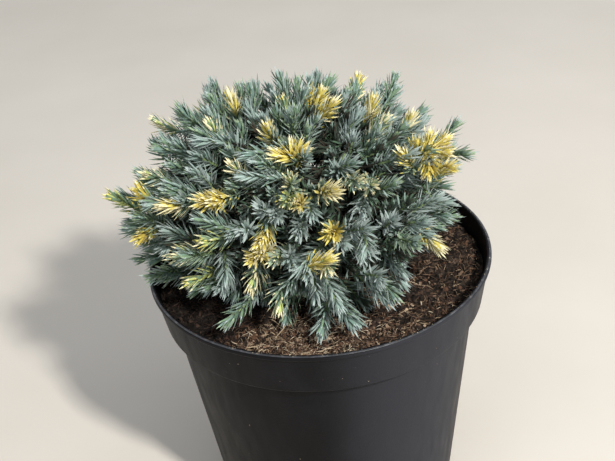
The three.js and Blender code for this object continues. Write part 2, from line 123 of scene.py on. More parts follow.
# Lumps: number, lift, size, spread of the three sides and depth of the dents.
LUMPS = {
    "clods": (1200, 0, (0.7, 2.1), (0.6, 1.0), 0.28),
    "crumbs": (7500, 0.25, (0.25, 0.85), (0.5, 1.3), 0.35),
    "dry_crumbs": (2200, 0.4, (0.25, 0.8), (0.4, 1.4), 0.35),
}
# Threads: number, length, radius and height of the arch.
THREADS = {
    "fibres": (2700, (1.6, 6), (0.08, 0.18), (0.0, 0.9)),
    "dry_fibres": (800, (1.5, 5), (0.08, 0.2), (0.2, 1.1)),
    "straws": (5, (12, 26), (0.1, 0.22), (0.3, 1.4)),
}
CHIPS = 500
CHIP_SIZES = ((0.6, 2.0), (0.3, 0.7), (0.15, 0.3))
CHIP_LIFT = 0.5
CHIP_DENTS = 0.2
STRAW_LIFT = 1.6
STRAW_CLEARANCE = 0.3
STRAW_BEND = 0.06
STRAW_RADII = (0.2, 0.34)
STRAW_TAPER = np.array([0.6, 1, 1, 1, 0.9, 0.5])
STRAW_SIDES = 5
FIBRE_CURL = 0.35
FIBRE_LIFT = 0.8
FIBRE_TAPER = np.array([0.5, 1, 1, 0.9, 0.35])
FIBRE_SIDES = 3
FIBRE_TILT = 0.16
FIBRE_LEVEL = 0.6
# Middle and spread of the dry patch by the pot's front, and how many times it is wider than deep.
DRY_PATCH = (-22, -72, 38)
DRY_PATCH_SHAPE = 3
# A place on the line beyond which the compost is painted dark as shade, the way to that side, and where
# it turns.
SHADE_EDGE = (-36, -47)
SHADE_SIDE = np.array([-0.796, 0.605])
SHADE_BLEND = (-7, 5)
DRY_AT_RIGHT = 0.8
RIGHT_BLEND = (0, 40)
PALENESS = (0.12, 1.25)
DRY_SEED = 29

# Crown, as in the part: its reach from the hub, and where it stands out or falls short of that.
HUB = np.array([-9.0, 16.0, COMPOST_TOP + 33.0])
CROWN_REACH_X = 101
CROWN_REACH_Y = 84
CROWN_REACH_UP = 65
CROWN_REACH_DOWN = 44
CROWN_CORNER = 2.7
# Turn, elevation, height as a share of the reach, and spread.
CROWN_BUMPS = {
    "left_tip": (187, 12, 0.1, 8),
    "left_notch": (168, 20, -0.24, 12),
    "back_left_notch": (143, 29, -0.06, 8),
    "low_left": (198, -4, -0.08, 12),
    "left_undercut": (226, -22, -0.24, 20),
    "upper_right_tip": (38, 34, 0.06, 6),
    "right_notch": (15, 25, -0.2, 11),
    "right_undercut": (-20, -9, -0.17, 24),
    "front_skirt": (-78, -20, 0.2, 22),
}
# Name, count, elevation and first turn of each tier of masses.
TIERS = (("lower", 8, 0, 10), ("middle", 6, 41, 24), ("top", 1, 90, 0))

# Stem and boughs, as in the part
STEM_FOOT = np.array([-5.0, 7.0, COMPOST_TOP + SEAT_GAP])
STEM_FOOT_RADIUS = 5.4
STEM_TIP_RADIUS = 2.6
ROOT_FLARE = 3.2
ROOT_FLARE_HEIGHT = 6
BUTTRESSES = 3
BUTTRESS_SHARE = 0.35
STEM_UPRIGHT_SHARE = 0.35
BOUGH_SHARE = 0.34
BOUGH_ROOT_RADIUS = 2.5
BOUGH_TIP_RADIUS = 1.7
BOUGH_HEIGHTS = {"lower": (12, 22), "middle": (34, 42)}
BARK_RELIEF = 0.14
BARK_STRANDS = 7
BARK_TWIST = 0.04
BARK_WANDER = 2
# Coarse and fine noise on the bark: cells round the limb, and the size of a cell along it.
BARK_NOISE = ((9, 6.0), (40, 2.5))
RIDGE_SHARE = 0.6
GRAIN_SHARE = 0.4
STEM_STEPS = 70
STEM_SIDES = 48
STEM_BARK_SEED = 3
BOUGH_STEPS = 26
BOUGH_SIDES = 20
BOUGH_BARK_SEED = 10
BOUGH_BEND = 0.5

# Twigs: the part's own, and the finer ones that fork from them.
MASS_STEM_SHARE = 0.62
MASS_STEM_RADIUS = 1.8
SHOOT_SEED = 41
SHOOTS = 136
LOWEST_SHOOT_ELEVATION = -23
SHOOT_SCATTER = 0.05
SHOOT_PULL = 0.1
SHORTEST_REACH = 0.88
TIP_CLEARANCE = 4
FORK_PER_RADIAN = 2
LOWEST_FORK = 0.15
HIGHEST_FORK = 0.9
TWIG_BEND = 0.45
UPWARD_PULL = 0.12
FINER_SEED = 5
FINER_TRIES = 5200
FINER_SPACING = 14.8
FINER_REACH = (0.84, 0.98)
FINER_LENGTH = 27
INNER_TRIES = 2500
INNER_SPACING = 10.8
INNER_REACH = (0.4, 0.84)
INNER_LENGTH = 20
TAKEN_OVER_WITHIN = 8
TWIG_ROOT_RADIUS = 1.2
TWIG_TIP_RADIUS = 0.5
SIDE_TWIG_RADIUS = 0.8
TWIG_STEPS = 8
TWIG_SIDES = 6
MASS_STEM_STEPS = 5
MASS_STEM_SIDES = 8
TWIG_WANDER = 0.22
FINER_SCATTER = 0.05
# Where a finer twig may fork from another, and what keeps it close to that one.
SIDE_FORKS = np.linspace(0.15, 0.8, 14)
SIDE_FORK_PULL = 0.5
HEADING_SHARE = 0.6
LENGTH_STEPS = 9
# The stretch of a line of sight that is searched for the crown, round the camera's distance.
SIGHT_SPAN = (-180, 120)
SIGHT_STEP = 0.5
CROWN_SKIN = 0.97

# Needles
LEAFY_LENGTH = (18, 24)
WHORL_SPACING = 1.4
DENSE_WHORL_SPACING = 0.88
DENSE_KINDS = ("yellow", "gold", "cream")
COLOURED_FROM = 0.42
COLOURED_BLEND = 0.07
COLOURING_GAIN = 1.3
OLD_WHORL_SPACING = 2.8
NEEDLES_PER_WHORL = 3
WHORL_SCATTER = 0.25
WHORL_TWIST = 0.1
TURN_SCATTER = 0.2
BARE_SHARE = 0.15
NEEDLE_LENGTH = 10.4
NEEDLE_WIDTH = 1.42
NEEDLE_KEEL = 0.36
FULL_WIDTH_LENGTH = 6.5
WIDTH_SPREAD = (0.85, 1.1)
SIZE_SPREAD = (0.86, 1.1)
SPRAY_SIZE_SPREAD = (0.9, 1.1)
BEND_SPREAD = (0.02, 0.2)
ROLL_SCATTER = 0.25
ANGLE_SCATTER = 5.5
NEEDLE_FOOT = 0.3
# The length of a young needle, as a share of the longest, swells and sinks along the spray.
YOUNG_SIZE = 0.82
YOUNG_SWELL = 0.2
SWELL_START = 0.1
SWELL_SPAN = 0.75
CLOSING_POWER = 1.8
NEEDLE_ANGLE = 48
NEEDLE_ANGLE_AT_TIP = 24
OLD_NEEDLE_ANGLE = 66
OLD_NEEDLE_SIZE = 0.85
TUFT_NEEDLES = 9
TUFT_TURN = 2.4
TUFT_ANGLES = (26, 4)
TUFT_SIZES = (0.8, 0.6)
TUFT_REACH = 6
# A direction that no twig points in, from which the turns of a spray's needles are counted.
SPRAY_REFERENCE = (0.3, 0.2, 1.0)
NEEDLE_CLEARANCE = 0.8
RIM_RAMP = (74, 88)
RIM_CLEARANCE = 2

# Where the coloured sprays show, as pixels of the photograph's frame: the tip of each.
SPRAY_TIPS = {
    "yellow": {
        "left_row": (211, 199), "front_left_high": (260, 243), "front_left_low": (251, 261),
        "front_left_inner": (261, 254), "left_front_high": (183, 243), "middle_low": (299, 202),
    },
    "gold": {"middle_olive": (335, 234), "big_left_inner": (294, 151)},
    "cream": {
        "middle_cream": (329, 185), "crest_right_thin": (373, 92), "crest_left_thin": (228, 93),
    },
    "cream_tips": {
        "left_front_white": (171, 257), "front_middle_tips": (329, 270), "middle_right_tips": (375, 183),
        "upper_left_tip": (207, 122), "left_middle_tip": (232, 166), "left_high_tip": (144, 174),
        "front_inner_tips": (274, 261), "right_upper_tips": (388, 116), "middle_small": (292, 180),
        "middle_right": (361, 178),
    },
    "lime": {
        "left_front_lime": (202, 242), "middle_low_lime": (288, 199), "left_low_lime": (187, 284),
        "crest_middle_lime": (279, 87),
    },
    "silver": {
        "middle_silver": (300, 232), "middle_silver_high": (275, 215), "middle_silver_low": (345, 245),
        "front_silver": (318, 300), "cluster_hollow": (431, 162),
    },
    "green": {"left_front_green": (192, 262), "low_left_green": (150, 270), "left_green": (165, 190)},
}
# Sprays that show from the side: the kind, the tip's pixel and a pixel further back along the spray.
SIDE_SPRAYS = {
    "crest_tall": ("yellow", (359, 74), (356, 92)),
    "crest_gold": ("gold", (309, 87), (312, 108)),
    "crest_beside": ("yellow", (323, 87), (319, 104)),
    "crest_middle": ("yellow", (337, 99), (325, 113)),
    "right_shoulder": ("cream", (412, 112), (410, 128)),
    "upper_left_tuft": ("yellow", (267, 122), (270, 143)),
    "cluster_left": ("yellow", (399, 148), (412, 165)),
    "cluster_upper_left": ("gold", (414, 138), (421, 158)),
    "cluster_top": ("yellow", (430, 133), (429, 152)),
    "cluster_upper_right": ("yellow", (445, 136), (436, 153)),
    "cluster_right": ("yellow", (453, 150), (437, 154)),
    "cluster_low_right": ("yellow", (457, 169), (440, 164)),
    "cluster_low": ("gold", (427, 178), (431, 164)),
    "big_left_high": ("yellow", (292, 138), (292, 155)),
    "big_left_right": ("yellow", (309, 147), (295, 154)),
    "big_left_side": ("yellow", (270, 157), (289, 153)),
    "left_edge_high": ("gold", (138, 186), (148, 208)),
    "left_edge_low": ("gold", (134, 243), (153, 228)),
    "left_row_side": ("yellow", (196, 200), (218, 203)),
    "left_row_outer": ("cream", (156, 206), (181, 207)),
    "front_left_tips": ("cream_tips", (251, 291), (256, 271)),
    "front_cream": ("cream_tips", (281, 314), (272, 281)),
    "front_middle": ("yellow", (337, 256), (312, 263)),
    "over_compost_left": ("green", (219, 327), (258, 300)),
    "front_right_low": ("blue", (357, 330), (322, 290)),
    "front_right_green": ("green", (398, 302), (376, 262)),
    "right_long": ("cream", (444, 252), (416, 228)),
    "right_low_green": ("green", (458, 215), (424, 224)),
    "far_left": ("lime", (106, 194), (146, 210)),
    "low_left_dark": ("green", (133, 262), (168, 258)),
    "low_left_rim": ("green", (146, 280), (174, 268)),
    "low_left_hanging": ("green", (163, 291), (184, 272)),
    "upper_left": ("cream_tips", (154, 118), (180, 146)),
    "upper_right": ("green", (396, 72), (384, 108)),
    "crest_left": ("silver", (207, 84), (214, 116)),
    "right_behind": ("green", (459, 119), (440, 150)),
    "upper_left_blue": ("silver", (191, 142), (217, 139)),
    "left_upper_blue": ("silver", (187, 168), (220, 182)),
    "upper_middle_blue": ("blue", (238, 157), (264, 153)),
    "middle_left_blue": ("silver", (233, 177), (266, 175)),
    "left_blue": ("blue", (161, 184), (198, 190)),
    "left_middle_blue": ("blue", (191, 217), (228, 227)),
    "front_left_blue": ("silver", (225, 287), (228, 257)),
    "front_left_small": ("silver", (238, 235), (256, 224)),
    "front_middle_blue": ("silver", (293, 275), (309, 258)),
    "right_front_blue": ("silver", (359, 261), (378, 237)),
    "front_blue": ("silver", (340, 314), (333, 285)),
    "left_edge_green": ("green", (131, 216), (160, 222)),
    "right_tip": ("green", (472, 155), (448, 152)),
    "crest_left_spike": ("blue", (213, 80), (218, 104)),
    "crest_inner_spike": ("blue", (256, 81), (255, 108)),
    "crest_middle_spike": ("green", (286, 76), (287, 100)),
    "crest_top_spike": ("blue", (318, 69), (317, 92)),
}
SIDE_SPRAY_SINK = 6
# The pale straws on the compost, each between two pixels.
STRAWS_SEEN = {
    "leaning": ((275, 338), (290, 317)),
    "front_right": ((320, 352), (334, 346)),
    "front_right_end": ((333, 346), (351, 344)),
    "front_left_upright": ((245, 350), (250, 342)),
    "front_left_flat": ((246, 348), (258, 346)),
    "left_low": ((246, 333), (256, 338)),
    "left_high": ((246, 329), (258, 334)),
    "under_sprays": ((268, 317), (282, 320)),
    "under_sprays_low": ((270, 319), (280, 326)),
    "middle_short": ((264, 331), (266, 336)),
    "front_short": ((307, 348), (310, 344)),
    "right_short": ((342, 345), (345, 351)),
    "left_edge": ((231, 341), (237, 344)),
    "by_the_rim": ((306, 355), (314, 355)),
    "right_high": ((320, 341), (332, 339)),
}
# Dark gaps and bare compost, where no twig ends near the crown's skin: middle and radius of each.
DARK_GAPS = {
    "left_of_middle": ((244, 191), 14),
    "under_big_left": ((281, 167), 9),
    "upper_left": ((189, 135), 6),
    "upper_middle": ((235, 147), 6),
    "left_upper": ((172, 160), 7),
    "above_left_front": ((271, 238), 9),
    "beside_left_front": ((230, 247), 6),
    "low_left": ((162, 268), 10),
    "under_left_front": ((270, 272), 8),
    "middle": ((342, 179), 8),
    "right_of_big_left": ((315, 161), 7),
    "right_of_middle": ((384, 171), 7),
    "under_cluster": ((415, 172), 6),
    "right_low": ((437, 198), 7),
    "right_front": ((350, 247), 9),
    "front_middle": ((287, 265), 9),
    "front": ((304, 313), 11),
    "front_right": ((365, 288), 11),
    "front_low": ((305, 327), 12),
    "over_compost_right": ((421, 277), 14),
}
GAP_REACH = 0.72

# Base colours of the needles. A spray kind picks from them for its needles' inner and outer faces.
NEEDLE_COLOURS = {
    "silver": "#9faba7",
    "glaucous": "#95a7a0",
    "glaucous_deep": "#85998f",
    "blue_green": "#71897e",
    "pale_green": "#92a588",
    "green": "#70886d",
    "green_deep": "#526a54",
    "old_green": "#3b453a",
    "dry": "#3f392f",
    "cream": "#e2dab2",
    "yellow": "#d9ca6c",
    "gold": "#bda84c",
    "olive": "#858a4d",
    "lime": "#b1bc76",
}
# Colours of each kind's inner faces, outer faces and points: first by the spray's root, then by its tip.
SPRAY_KINDS = {
    "blue": (
        (
            ("glaucous", "glaucous_deep", "glaucous_deep"),
            ("blue_green", "blue_green", "green"),
            ("glaucous",),
        ),
        (
            ("silver", "glaucous", "glaucous"),
            ("glaucous_deep", "blue_green", "green"),
            ("silver", "glaucous"),
        ),
    ),
    "silver": (
        (("glaucous", "silver"), ("glaucous_deep", "blue_green"), ("silver",)),
        (("silver", "silver", "glaucous"), ("glaucous", "glaucous_deep"), ("silver",)),
    ),
    "green": (
        (("glaucous_deep", "pale_green"), ("green", "green_deep"), ("glaucous", "pale_green")),
        (("glaucous", "pale_green"), ("green", "blue_green"), ("silver", "pale_green")),
    ),
    "cream_tips": (
        (("glaucous", "pale_green"), ("green", "blue_green"), ("cream",)),
        (("cream", "pale_green", "glaucous"), ("lime", "green", "cream"), ("cream",)),
    ),
    "lime": (
        (("pale_green", "glaucous_deep"), ("green", "olive"), ("lime",)),
        (("lime", "pale_green"), ("lime", "green"), ("yellow", "cream")),
    ),
    "cream": (
        (("pale_green", "glaucous_deep"), ("blue_green", "green"), ("glaucous", "cream")),
        (("cream", "cream", "yellow"), ("yellow", "cream"), ("cream",)),
    ),
    "yellow": (
        (("pale_green", "glaucous_deep"), ("olive", "green", "blue_green"), ("glaucous", "yellow")),
        (("cream", "yellow", "yellow"), ("yellow", "yellow", "gold"), ("cream",)),
    ),
    "gold": (
        (("pale_green", "olive"), ("olive", "green"), ("gold", "glaucous")),
        (("yellow", "yellow", "gold"), ("gold", "gold", "olive"), ("yellow", "cream")),
    ),
    "old": (
        (("glaucous_deep", "green_deep"), ("old_green", "green_deep"), ("old_green",)),
        (("glaucous_deep", "green_deep"), ("old_green", "dry"), ("dry", "old_green")),
    ),
}
# How often each kind comes up where no place is known for a colour.
LOWER_KINDS = {"blue": 0.62, "green": 0.2, "silver": 0.18}
UPPER_KINDS = {"blue": 0.5, "green": 0.4, "silver": 0.1}
UPPER_KINDS_ABOVE = 28
# The sprays on the right are paler: painted light on the crown's lit side.
PAINTED_LIGHT_KINDS = {"blue": 0.3, "green": 0.15, "silver": 0.55}
PAINTED_LIGHT_KINDS_FROM = 26
FAR_SIDE_KINDS = {
    "blue": 0.5, "green": 0.25, "silver": 0.11, "cream_tips": 0.07, "yellow": 0.05, "cream": 0.02,
}
FAR_SIDE_LIMIT = -0.32

# Roughness, specular level and sheen of the plain finishes.
NEEDLE_FINISH = (0.6, 0.18, 0.06)
EARTH_FINISH = (0.95, 0.15)
# The old wood's brown is darker than its own colour: painted shade in the gaps between the sprays.
TWIG_FINISHES = {"twig_brown_and_painted_shade": ("#27241c", 0.85, 0.2), "twig_green": ("#6f8158", 0.6, 0.3)}
DARK_EARTH = {
    "black": "#15110e", "dark": "#261f1a", "brown": "#3f3028", "red_brown": "#543d2f", "tan": "#745e4c",
}
PALE_EARTH = {"wood": "#655040", "fibre": "#8a735f", "straw": "#a8947a", "pale": "#c9b99f"}

# The pot's plastic. A noise is its scale, its detail and, where it isn't even, how it is stretched.
POT_FINISH = ("#0e0e10", 0.42, 0.1)
POT_DUST = (38.0, 8.0)
DUST_PLACES = (0.3, 0.55, 0.74, 0.86)
DUST_COLOURS = ("#0a0a0b", "#0e0e11", "#161619", "#292827")
POT_SCUFFS = (160.0, 6.0, (1.0, 1.0, 0.25))
POT_GLOSS = (0.3, 0.62)
POT_GRAIN = (900.0, 3.0)
POT_GRAIN_RELIEF = (0.25, 0.0003)

# Finishes whose colour runs over a ramp with a noise, which is their relief too: plain colour, roughness
# and specular level, then the noise, the ramp's places and colours, and the relief.
COMPOST_NOISE = (420.0, 8.0)
COMPOST_PLACES = (0.3, 0.48, 0.6, 0.75)
COMPOST_BUMP = (0.7, 0.001)
NOISE_FINISHES = {
    "rubbed_pot_plastic": (
        ("#37383c", 0.36, 0.5), (240.0, 5.0),
        (0.3, 0.52, 0.7, 0.85), ("#232427", "#36373b", "#55565a", "#86868a"), (0.3, 0.0002),
    ),
    # Darker compost: painted shade on the left of the pot.
    "dark_compost_and_painted_shade": (
        ("#15110e", 0.95, 0.2), COMPOST_NOISE,
        COMPOST_PLACES, ("#0c0a08", "#15110e", "#241d18", "#453a31"), COMPOST_BUMP,
    ),
    "moist_compost": (
        ("#221b16", 0.95, 0.2), COMPOST_NOISE,
        COMPOST_PLACES, ("#110e0b", "#221b16", "#3c3129", "#6f5f4f"), COMPOST_BUMP,
    ),
    "juniper_bark": (
        ("#5e412f", 0.9, 0.25), (260.0, 6.0, (1.0, 1.0, 0.18)),
        (0.3, 0.5, 0.68, 0.85), ("#1e1814", "#3f3229", "#67543f", "#9a866c"), (0.6, 0.0008),
    ),
    "pale_floor": (("#cfc8bd", 0.85, 0.2), (6.0, 6.0), (0.3, 0.7), ("#cac3b8", "#d0c9bf"), None),
}

# Area lights in metres and watts: place, size, power and colour.
LIGHTS = {
    "key": ((0.77, -1.18, 1.42), 0.15, 45, (1.0, 0.98, 0.94)),
    "fill": ((-1.3, -1.2, 1.2), 1.6, 4, (0.94, 0.97, 1.0)),
    "side": ((1.5, -0.45, 0.5), 0.9, 9, (0.88, 0.93, 1.0)),
}
LIGHT_TARGET = (0, 0, 0.15)
WORLD_COLOUR = (0.9, 0.94, 1.0, 1.0)
WORLD_STRENGTH = 0.63
FLOOR_REACH = 6000

Mass = collections.namedtuple("Mass", "name tier index aim")
Shoot = collections.namedtuple("Shoot", "mass curve kind radius leafy_from leafy_to")


# Small helpers

def lerp(a, b, share):
    return a + (b - a) * share


def unit(vectors):
    vectors = np.asarray(vectors, float)
    return vectors / np.linalg.norm(vectors, axis=-1, keepdims=True)


def smoothstep(value, low, high):
    share = np.clip((value - low) / (high - low), 0, 1)
    return share * share * (3 - 2 * share)


def direction(turn, elevation):
    turn, elevation = np.radians(turn), np.radians(elevation)
    level = np.cos(elevation)
    return np.stack([np.cos(turn) * level, np.sin(turn) * level, np.sin(elevation)], -1)


def full_turn(count):
    """Angles in radians, evenly spaced all the way round."""
    return 2 * np.pi * np.arange(count) / count


def seeded(seed):
    """The part's own generator of numbers from 0 to 1, so that the same twigs grow here."""
    state = seed
    while True:
        state = (state * 1664525 + 1013904223) % 2**32
        yield state / 2**32


def linear(code):
    """A linear colour from an sRGB one such as #8fa9a0."""
    shares = [int(code[i:i + 2], 16) / 255 for i in (1, 3, 5)]
    return tuple(s / 12.92 if s <= 0.04045 else ((s + 0.055) / 1.055) ** 2.4 for s in shares) + (1.0,)


# Meshes

def mesh_object(name, points, faces, materials, face_material=None, smooth=True):
    """A mesh from points in millimetres and faces that all have the same number of corners."""
    mesh = bpy.data.meshes.new(name)
    faces = np.asarray(faces, np.int32)
    for material in materials:
        mesh.materials.append(material)
    mesh.vertices.add(len(points))
    mesh.vertices.foreach_set("co", (np.asarray(points, float) * MM).astype(np.float32).ravel())
    mesh.loops.add(faces.size)
    mesh.loops.foreach_set("vertex_index", faces.ravel())
    mesh.polygons.add(len(faces))
    mesh.polygons.foreach_set("loop_start", np.arange(0, faces.size, faces.shape[1], dtype=np.int32))
    if face_material is not None:
        mesh.polygons.foreach_set("material_index", np.asarray(face_material, np.int32))
    mesh.polygons.foreach_set("use_smooth", np.full(len(faces), smooth))
    mesh.update(calc_edges=True)
    obj = bpy.data.objects.new(name, mesh)
    bpy.context.scene.collection.objects.link(obj)
    return obj


def dress(obj, slot, *nodes):
    """The piece rides on the plant's one body and stands for the nodes. The slot is not used."""
    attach(obj, "root")
    if nodes:
        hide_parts(*nodes)


def joined(parts):
    """One pair of point and face arrays from a list of such pairs."""
    offsets = np.cumsum([0] + [len(points) for points, _ in parts])
    faces = [faces + offset for (_, faces), offset in zip(parts, offsets)]
    return np.concatenate([points for points, _ in parts]), np.concatenate(faces)


def repeated(pattern, corners, count):
    """The faces of many copies of one shape, whose points follow each other."""
    return (pattern[None] + corners * np.arange(count)[:, None, None]).reshape(-1, 3)


def halves(a, b, c, d):
    """Two triangles for each face with four corners."""
    return [np.stack([a, b, c], -1), np.stack([a, c, d], -1)]


def closed_faces(rings, sides):
    """The triangles between rings of points, and from the first and last ring to the two end points."""
    here = np.arange(sides)
    following = (here + 1) % sides
    faces = []
    for ring in range(rings - 1):
        low, high = ring * sides, (ring + 1) * sides
        faces += halves(low + here, low + following, high + following, high + here)
    last = (rings - 1) * sides
    faces.append(np.stack([np.full(sides, rings * sides), following, here], -1))
    faces.append(np.stack([np.full(sides, rings * sides + 1), last + here, last + following], -1))
    return np.concatenate(faces)


def tube(centres, radii, sides):
    """A closed tube of triangles along the centres, with a radius for each, or for each and side."""
    centres = np.asarray(centres, float)
    steps = len(centres)
    along = unit(np.gradient(centres, axis=0))
    side = np.array([1.0, 0, 0]) if abs(along[0, 2]) > 0.9 else np.array([0, 0, 1.0])
    turns = full_turn(sides)
    radii = np.broadcast_to(np.reshape(radii, (steps, -1)), (steps, sides))
    rings = []
    for step in range(steps):
        side = unit(side - along[step] * (side @ along[step]))
        across = np.cross(along[step], side)
        ring = np.outer(np.cos(turns), side) + np.outer(np.sin(turns), across)
        rings.append(centres[step] + ring * radii[step][:, None])
    return np.concatenate(rings + [centres[:1], centres[-1:]]), closed_faces(steps, sides)


def quadratic(curve, share):
    """Points and unit tangents on a quadratic Bezier curve of three points."""
    share = np.asarray(share, float)[:, None]
    a, b, c = curve
    points = a * (1 - share) ** 2 + b * 2 * share * (1 - share) + c * share ** 2
    return points, unit((b - a) * (1 - share) + (c - b) * share)


def line_length(points):
    return np.linalg.norm(np.diff(points, axis=0), axis=1).sum()


def curve_length(curve):
    return line_length(quadratic(curve, np.linspace(0, 1, LENGTH_STEPS))[0])


def around(radius, turn, height):
    """Places at a radius and a turn round the pot's axis."""
    return np.stack([radius * np.cos(turn), radius * np.sin(turn), height], -1)


def lattice_noise(x, y, cell, seed):
    """Smooth noise from -1 to 1, with a bump about every cell."""
    size = NOISE_LATTICE
    values = np.random.default_rng(seed).uniform(-1, 1, (size, size))
    column, row = x / cell, y / cell
    i, j = np.floor(column).astype(int), np.floor(row).astype(int)
    u, v = smoothstep(column - i, 0, 1), smoothstep(row - j, 0, 1)
    low = lerp(values[i % size, j % size], values[(i + 1) % size, j % size], u)
    high = lerp(values[i % size, (j + 1) % size], values[(i + 1) % size, (j + 1) % size], u)
    return lerp(low, high, v)


# Materials

def principled(name, code, roughness, specular, sheen=0.0):
    """A plain material with an sRGB colour, and its shader."""
    material = bpy.data.materials.new(name)
    material.use_nodes = True
    shader = material.node_tree.nodes["Principled BSDF"]
    shader.inputs["Base Color"].default_value = linear(code)
    shader.inputs["Roughness"].default_value = roughness
    shader.inputs["Specular IOR Level"].default_value = specular
    shader.inputs["Sheen Weight"].default_value = sheen
    return material, shader


def add_node(material, kind, **values):
    node = material.node_tree.nodes.new(kind)
    for key, value in values.items():
        if key in node.inputs:
            node.inputs[key].default_value = value
        else:
            setattr(node, key, value)
    return node


def tinted(material, texture, places, codes):
    """The texture's value as a colour, from a ramp with an sRGB colour at each place."""
    node = material.node_tree.nodes.new("ShaderNodeValToRGB")
    ramp = node.color_ramp
    while len(ramp.elements) < len(places):
        ramp.elements.new(0.5)
    for element, place, code in zip(ramp.elements, places, codes):
        element.position = place
        element.color = linear(code)
    material.node_tree.links.new(texture.outputs["Fac"], node.inputs["Fac"])
    return node.outputs["Color"]


def noise_of(material, scale, detail, stretch=None):
    """Noise in the object's own coordinates, in metres."""
    links = material.node_tree.links
    coordinates = material.node_tree.nodes.new("ShaderNodeTexCoord")
    texture = add_node(material, "ShaderNodeTexNoise", Scale=scale, Detail=detail)
    source = coordinates.outputs["Object"]
    if stretch is not None:
        mapping = add_node(material, "ShaderNodeMapping", Scale=stretch)
        links.new(source, mapping.inputs["Vector"])
        source = mapping.outputs["Vector"]
    links.new(source, texture.inputs["Vector"])
    return texture


def add_bump(material, shader, height, strength, distance):
    bump = add_node(material, "ShaderNodeBump", Strength=strength, Distance=distance)
    material.node_tree.links.new(height, bump.inputs["Height"])
    material.node_tree.links.new(bump.outputs["Normal"], shader.inputs["Normal"])


def bloom(material, colour):
    """The colour, with a painted sheen: paler where the pot's wall faces the key light."""
    links = material.node_tree.links
    coordinates = material.node_tree.nodes.new("ShaderNodeTexCoord")
    side = add_node(material, "ShaderNodeVectorMath", operation="DOT_PRODUCT")
    side.inputs[1].default_value = PAINTED_SHEEN_SIDE
    links.new(coordinates.outputs["Normal"], side.inputs[0])
    amount = add_node(material, "ShaderNodeMapRange", interpolation_type="SMOOTHSTEP")
    amount.inputs["From Min"].default_value = PAINTED_SHEEN_FROM
    links.new(side.outputs["Value"], amount.inputs["Value"])
    mix = add_node(material, "ShaderNodeMix", data_type="RGBA")
    links.new(amount.outputs["Result"], mix.inputs["Factor"])
    links.new(colour, mix.inputs["A"])
    mix.inputs["B"].default_value = linear(PAINTED_SHEEN_COLOUR)
    return mix.outputs["Result"]


def pot_plastic():
    """Black moulded plastic with dust, fine scuffs and a satin sheen, and a painted sheen that is paler
    where the wall faces the key light.
    """
    material, shader = principled("black_pot_plastic", *POT_FINISH)
    links = material.node_tree.links
    dust = noise_of(material, *POT_DUST)
    colour = tinted(material, dust, DUST_PLACES, DUST_COLOURS)
    # Painted sheen on the wall's side towards the key light.
    links.new(bloom(material, colour), shader.inputs["Base Color"])
    scuffs = noise_of(material, *POT_SCUFFS)
    gloss = add_node(material, "ShaderNodeMapRange")
    gloss.inputs["To Min"].default_value, gloss.inputs["To Max"].default_value = POT_GLOSS
    links.new(scuffs.outputs["Fac"], gloss.inputs["Value"])
    links.new(gloss.outputs["Result"], shader.inputs["Roughness"])
    grain = noise_of(material, *POT_GRAIN)
    add_bump(material, shader, grain.outputs["Fac"], *POT_GRAIN_RELIEF)
    return material


def noise_finish(name):
    """A finish from the table, whose noise gives its colour and its relief."""
    plain, noise, places, codes, relief = NOISE_FINISHES[name]
    material, shader = principled(name, *plain)
    texture = noise_of(material, *noise)
    colour = tinted(material, texture, places, codes)
    material.node_tree.links.new(colour, shader.inputs["Base Color"])
    if relief is not None:
        add_bump(material, shader, texture.outputs["Fac"], *relief)
    return material


def needle_materials():
    colours = NEEDLE_COLOURS.items()
    return [principled(f"needle_{name}", code, *NEEDLE_FINISH)[0] for name, code in colours]


def twig_materials():
    """The old wood, darkened as painted shade, and the young green shoot."""
    return [principled(name, *finish)[0] for name, finish in TWIG_FINISHES.items()]


def earth_materials(colours):
    return [principled(f"compost_{name}", code, *EARTH_FINISH)[0] for name, code in colours.items()]


# Camera

def level_side(back):
    """The level direction to the right of a camera or light whose back points this way."""
    return unit(np.cross([0, 0, 1.0], back))


def stood(name, data, right, back, place):
    """A new camera or light at the place, with its back and its right side in the given directions."""
    obj = bpy.data.objects.new(name, data)
    axes = np.stack([right, np.cross(back, right), back, place], -1)
    obj.matrix_world = Matrix([*axes.tolist(), [0, 0, 0, 1]])
    bpy.context.scene.collection.objects.link(obj)
    return obj


def spun(angle, first, second):
    """The rotation by an angle in radians from one of the three axes towards another."""
    matrix = np.eye(3)
    matrix[first, first] = matrix[second, second] = math.cos(angle)
    matrix[first, second] = -math.sin(angle)
    matrix[second, first] = math.sin(angle)
    return matrix


def camera_frame():
    """The camera's place, and its right, down and forward directions."""
    elevation = math.radians(CAMERA_ELEVATION)
    back = np.array([0, -math.cos(elevation), math.sin(elevation)])
    right = level_side(back)
    up = np.cross(back, right)
    axes = np.stack([right, -up, -back])
    across, down = (math.atan(pan / FOCAL_PX) for pan in CAMERA_PAN_PX)
    rolled = spun(math.radians(CAMERA_ROLL), 0, 1) @ axes
    place = np.array([0, 0, POT_HEIGHT]) + CAMERA_DISTANCE * back
    return place, spun(-down, 1, 2) @ spun(-across, 0, 2) @ rolled


def make_camera():
    place, (right, down, forward) = camera_frame()
    data = bpy.data.cameras.new("camera")
    data.sensor_width = SENSOR_WIDTH
    data.lens = FOCAL_PX * SENSOR_WIDTH / FRAME_WIDTH_PX
    data.clip_start = CLIP_START
    data.clip_end = CLIP_END
    bpy.context.scene.camera = stood("camera", data, right, -forward, place * MM)


# Crown

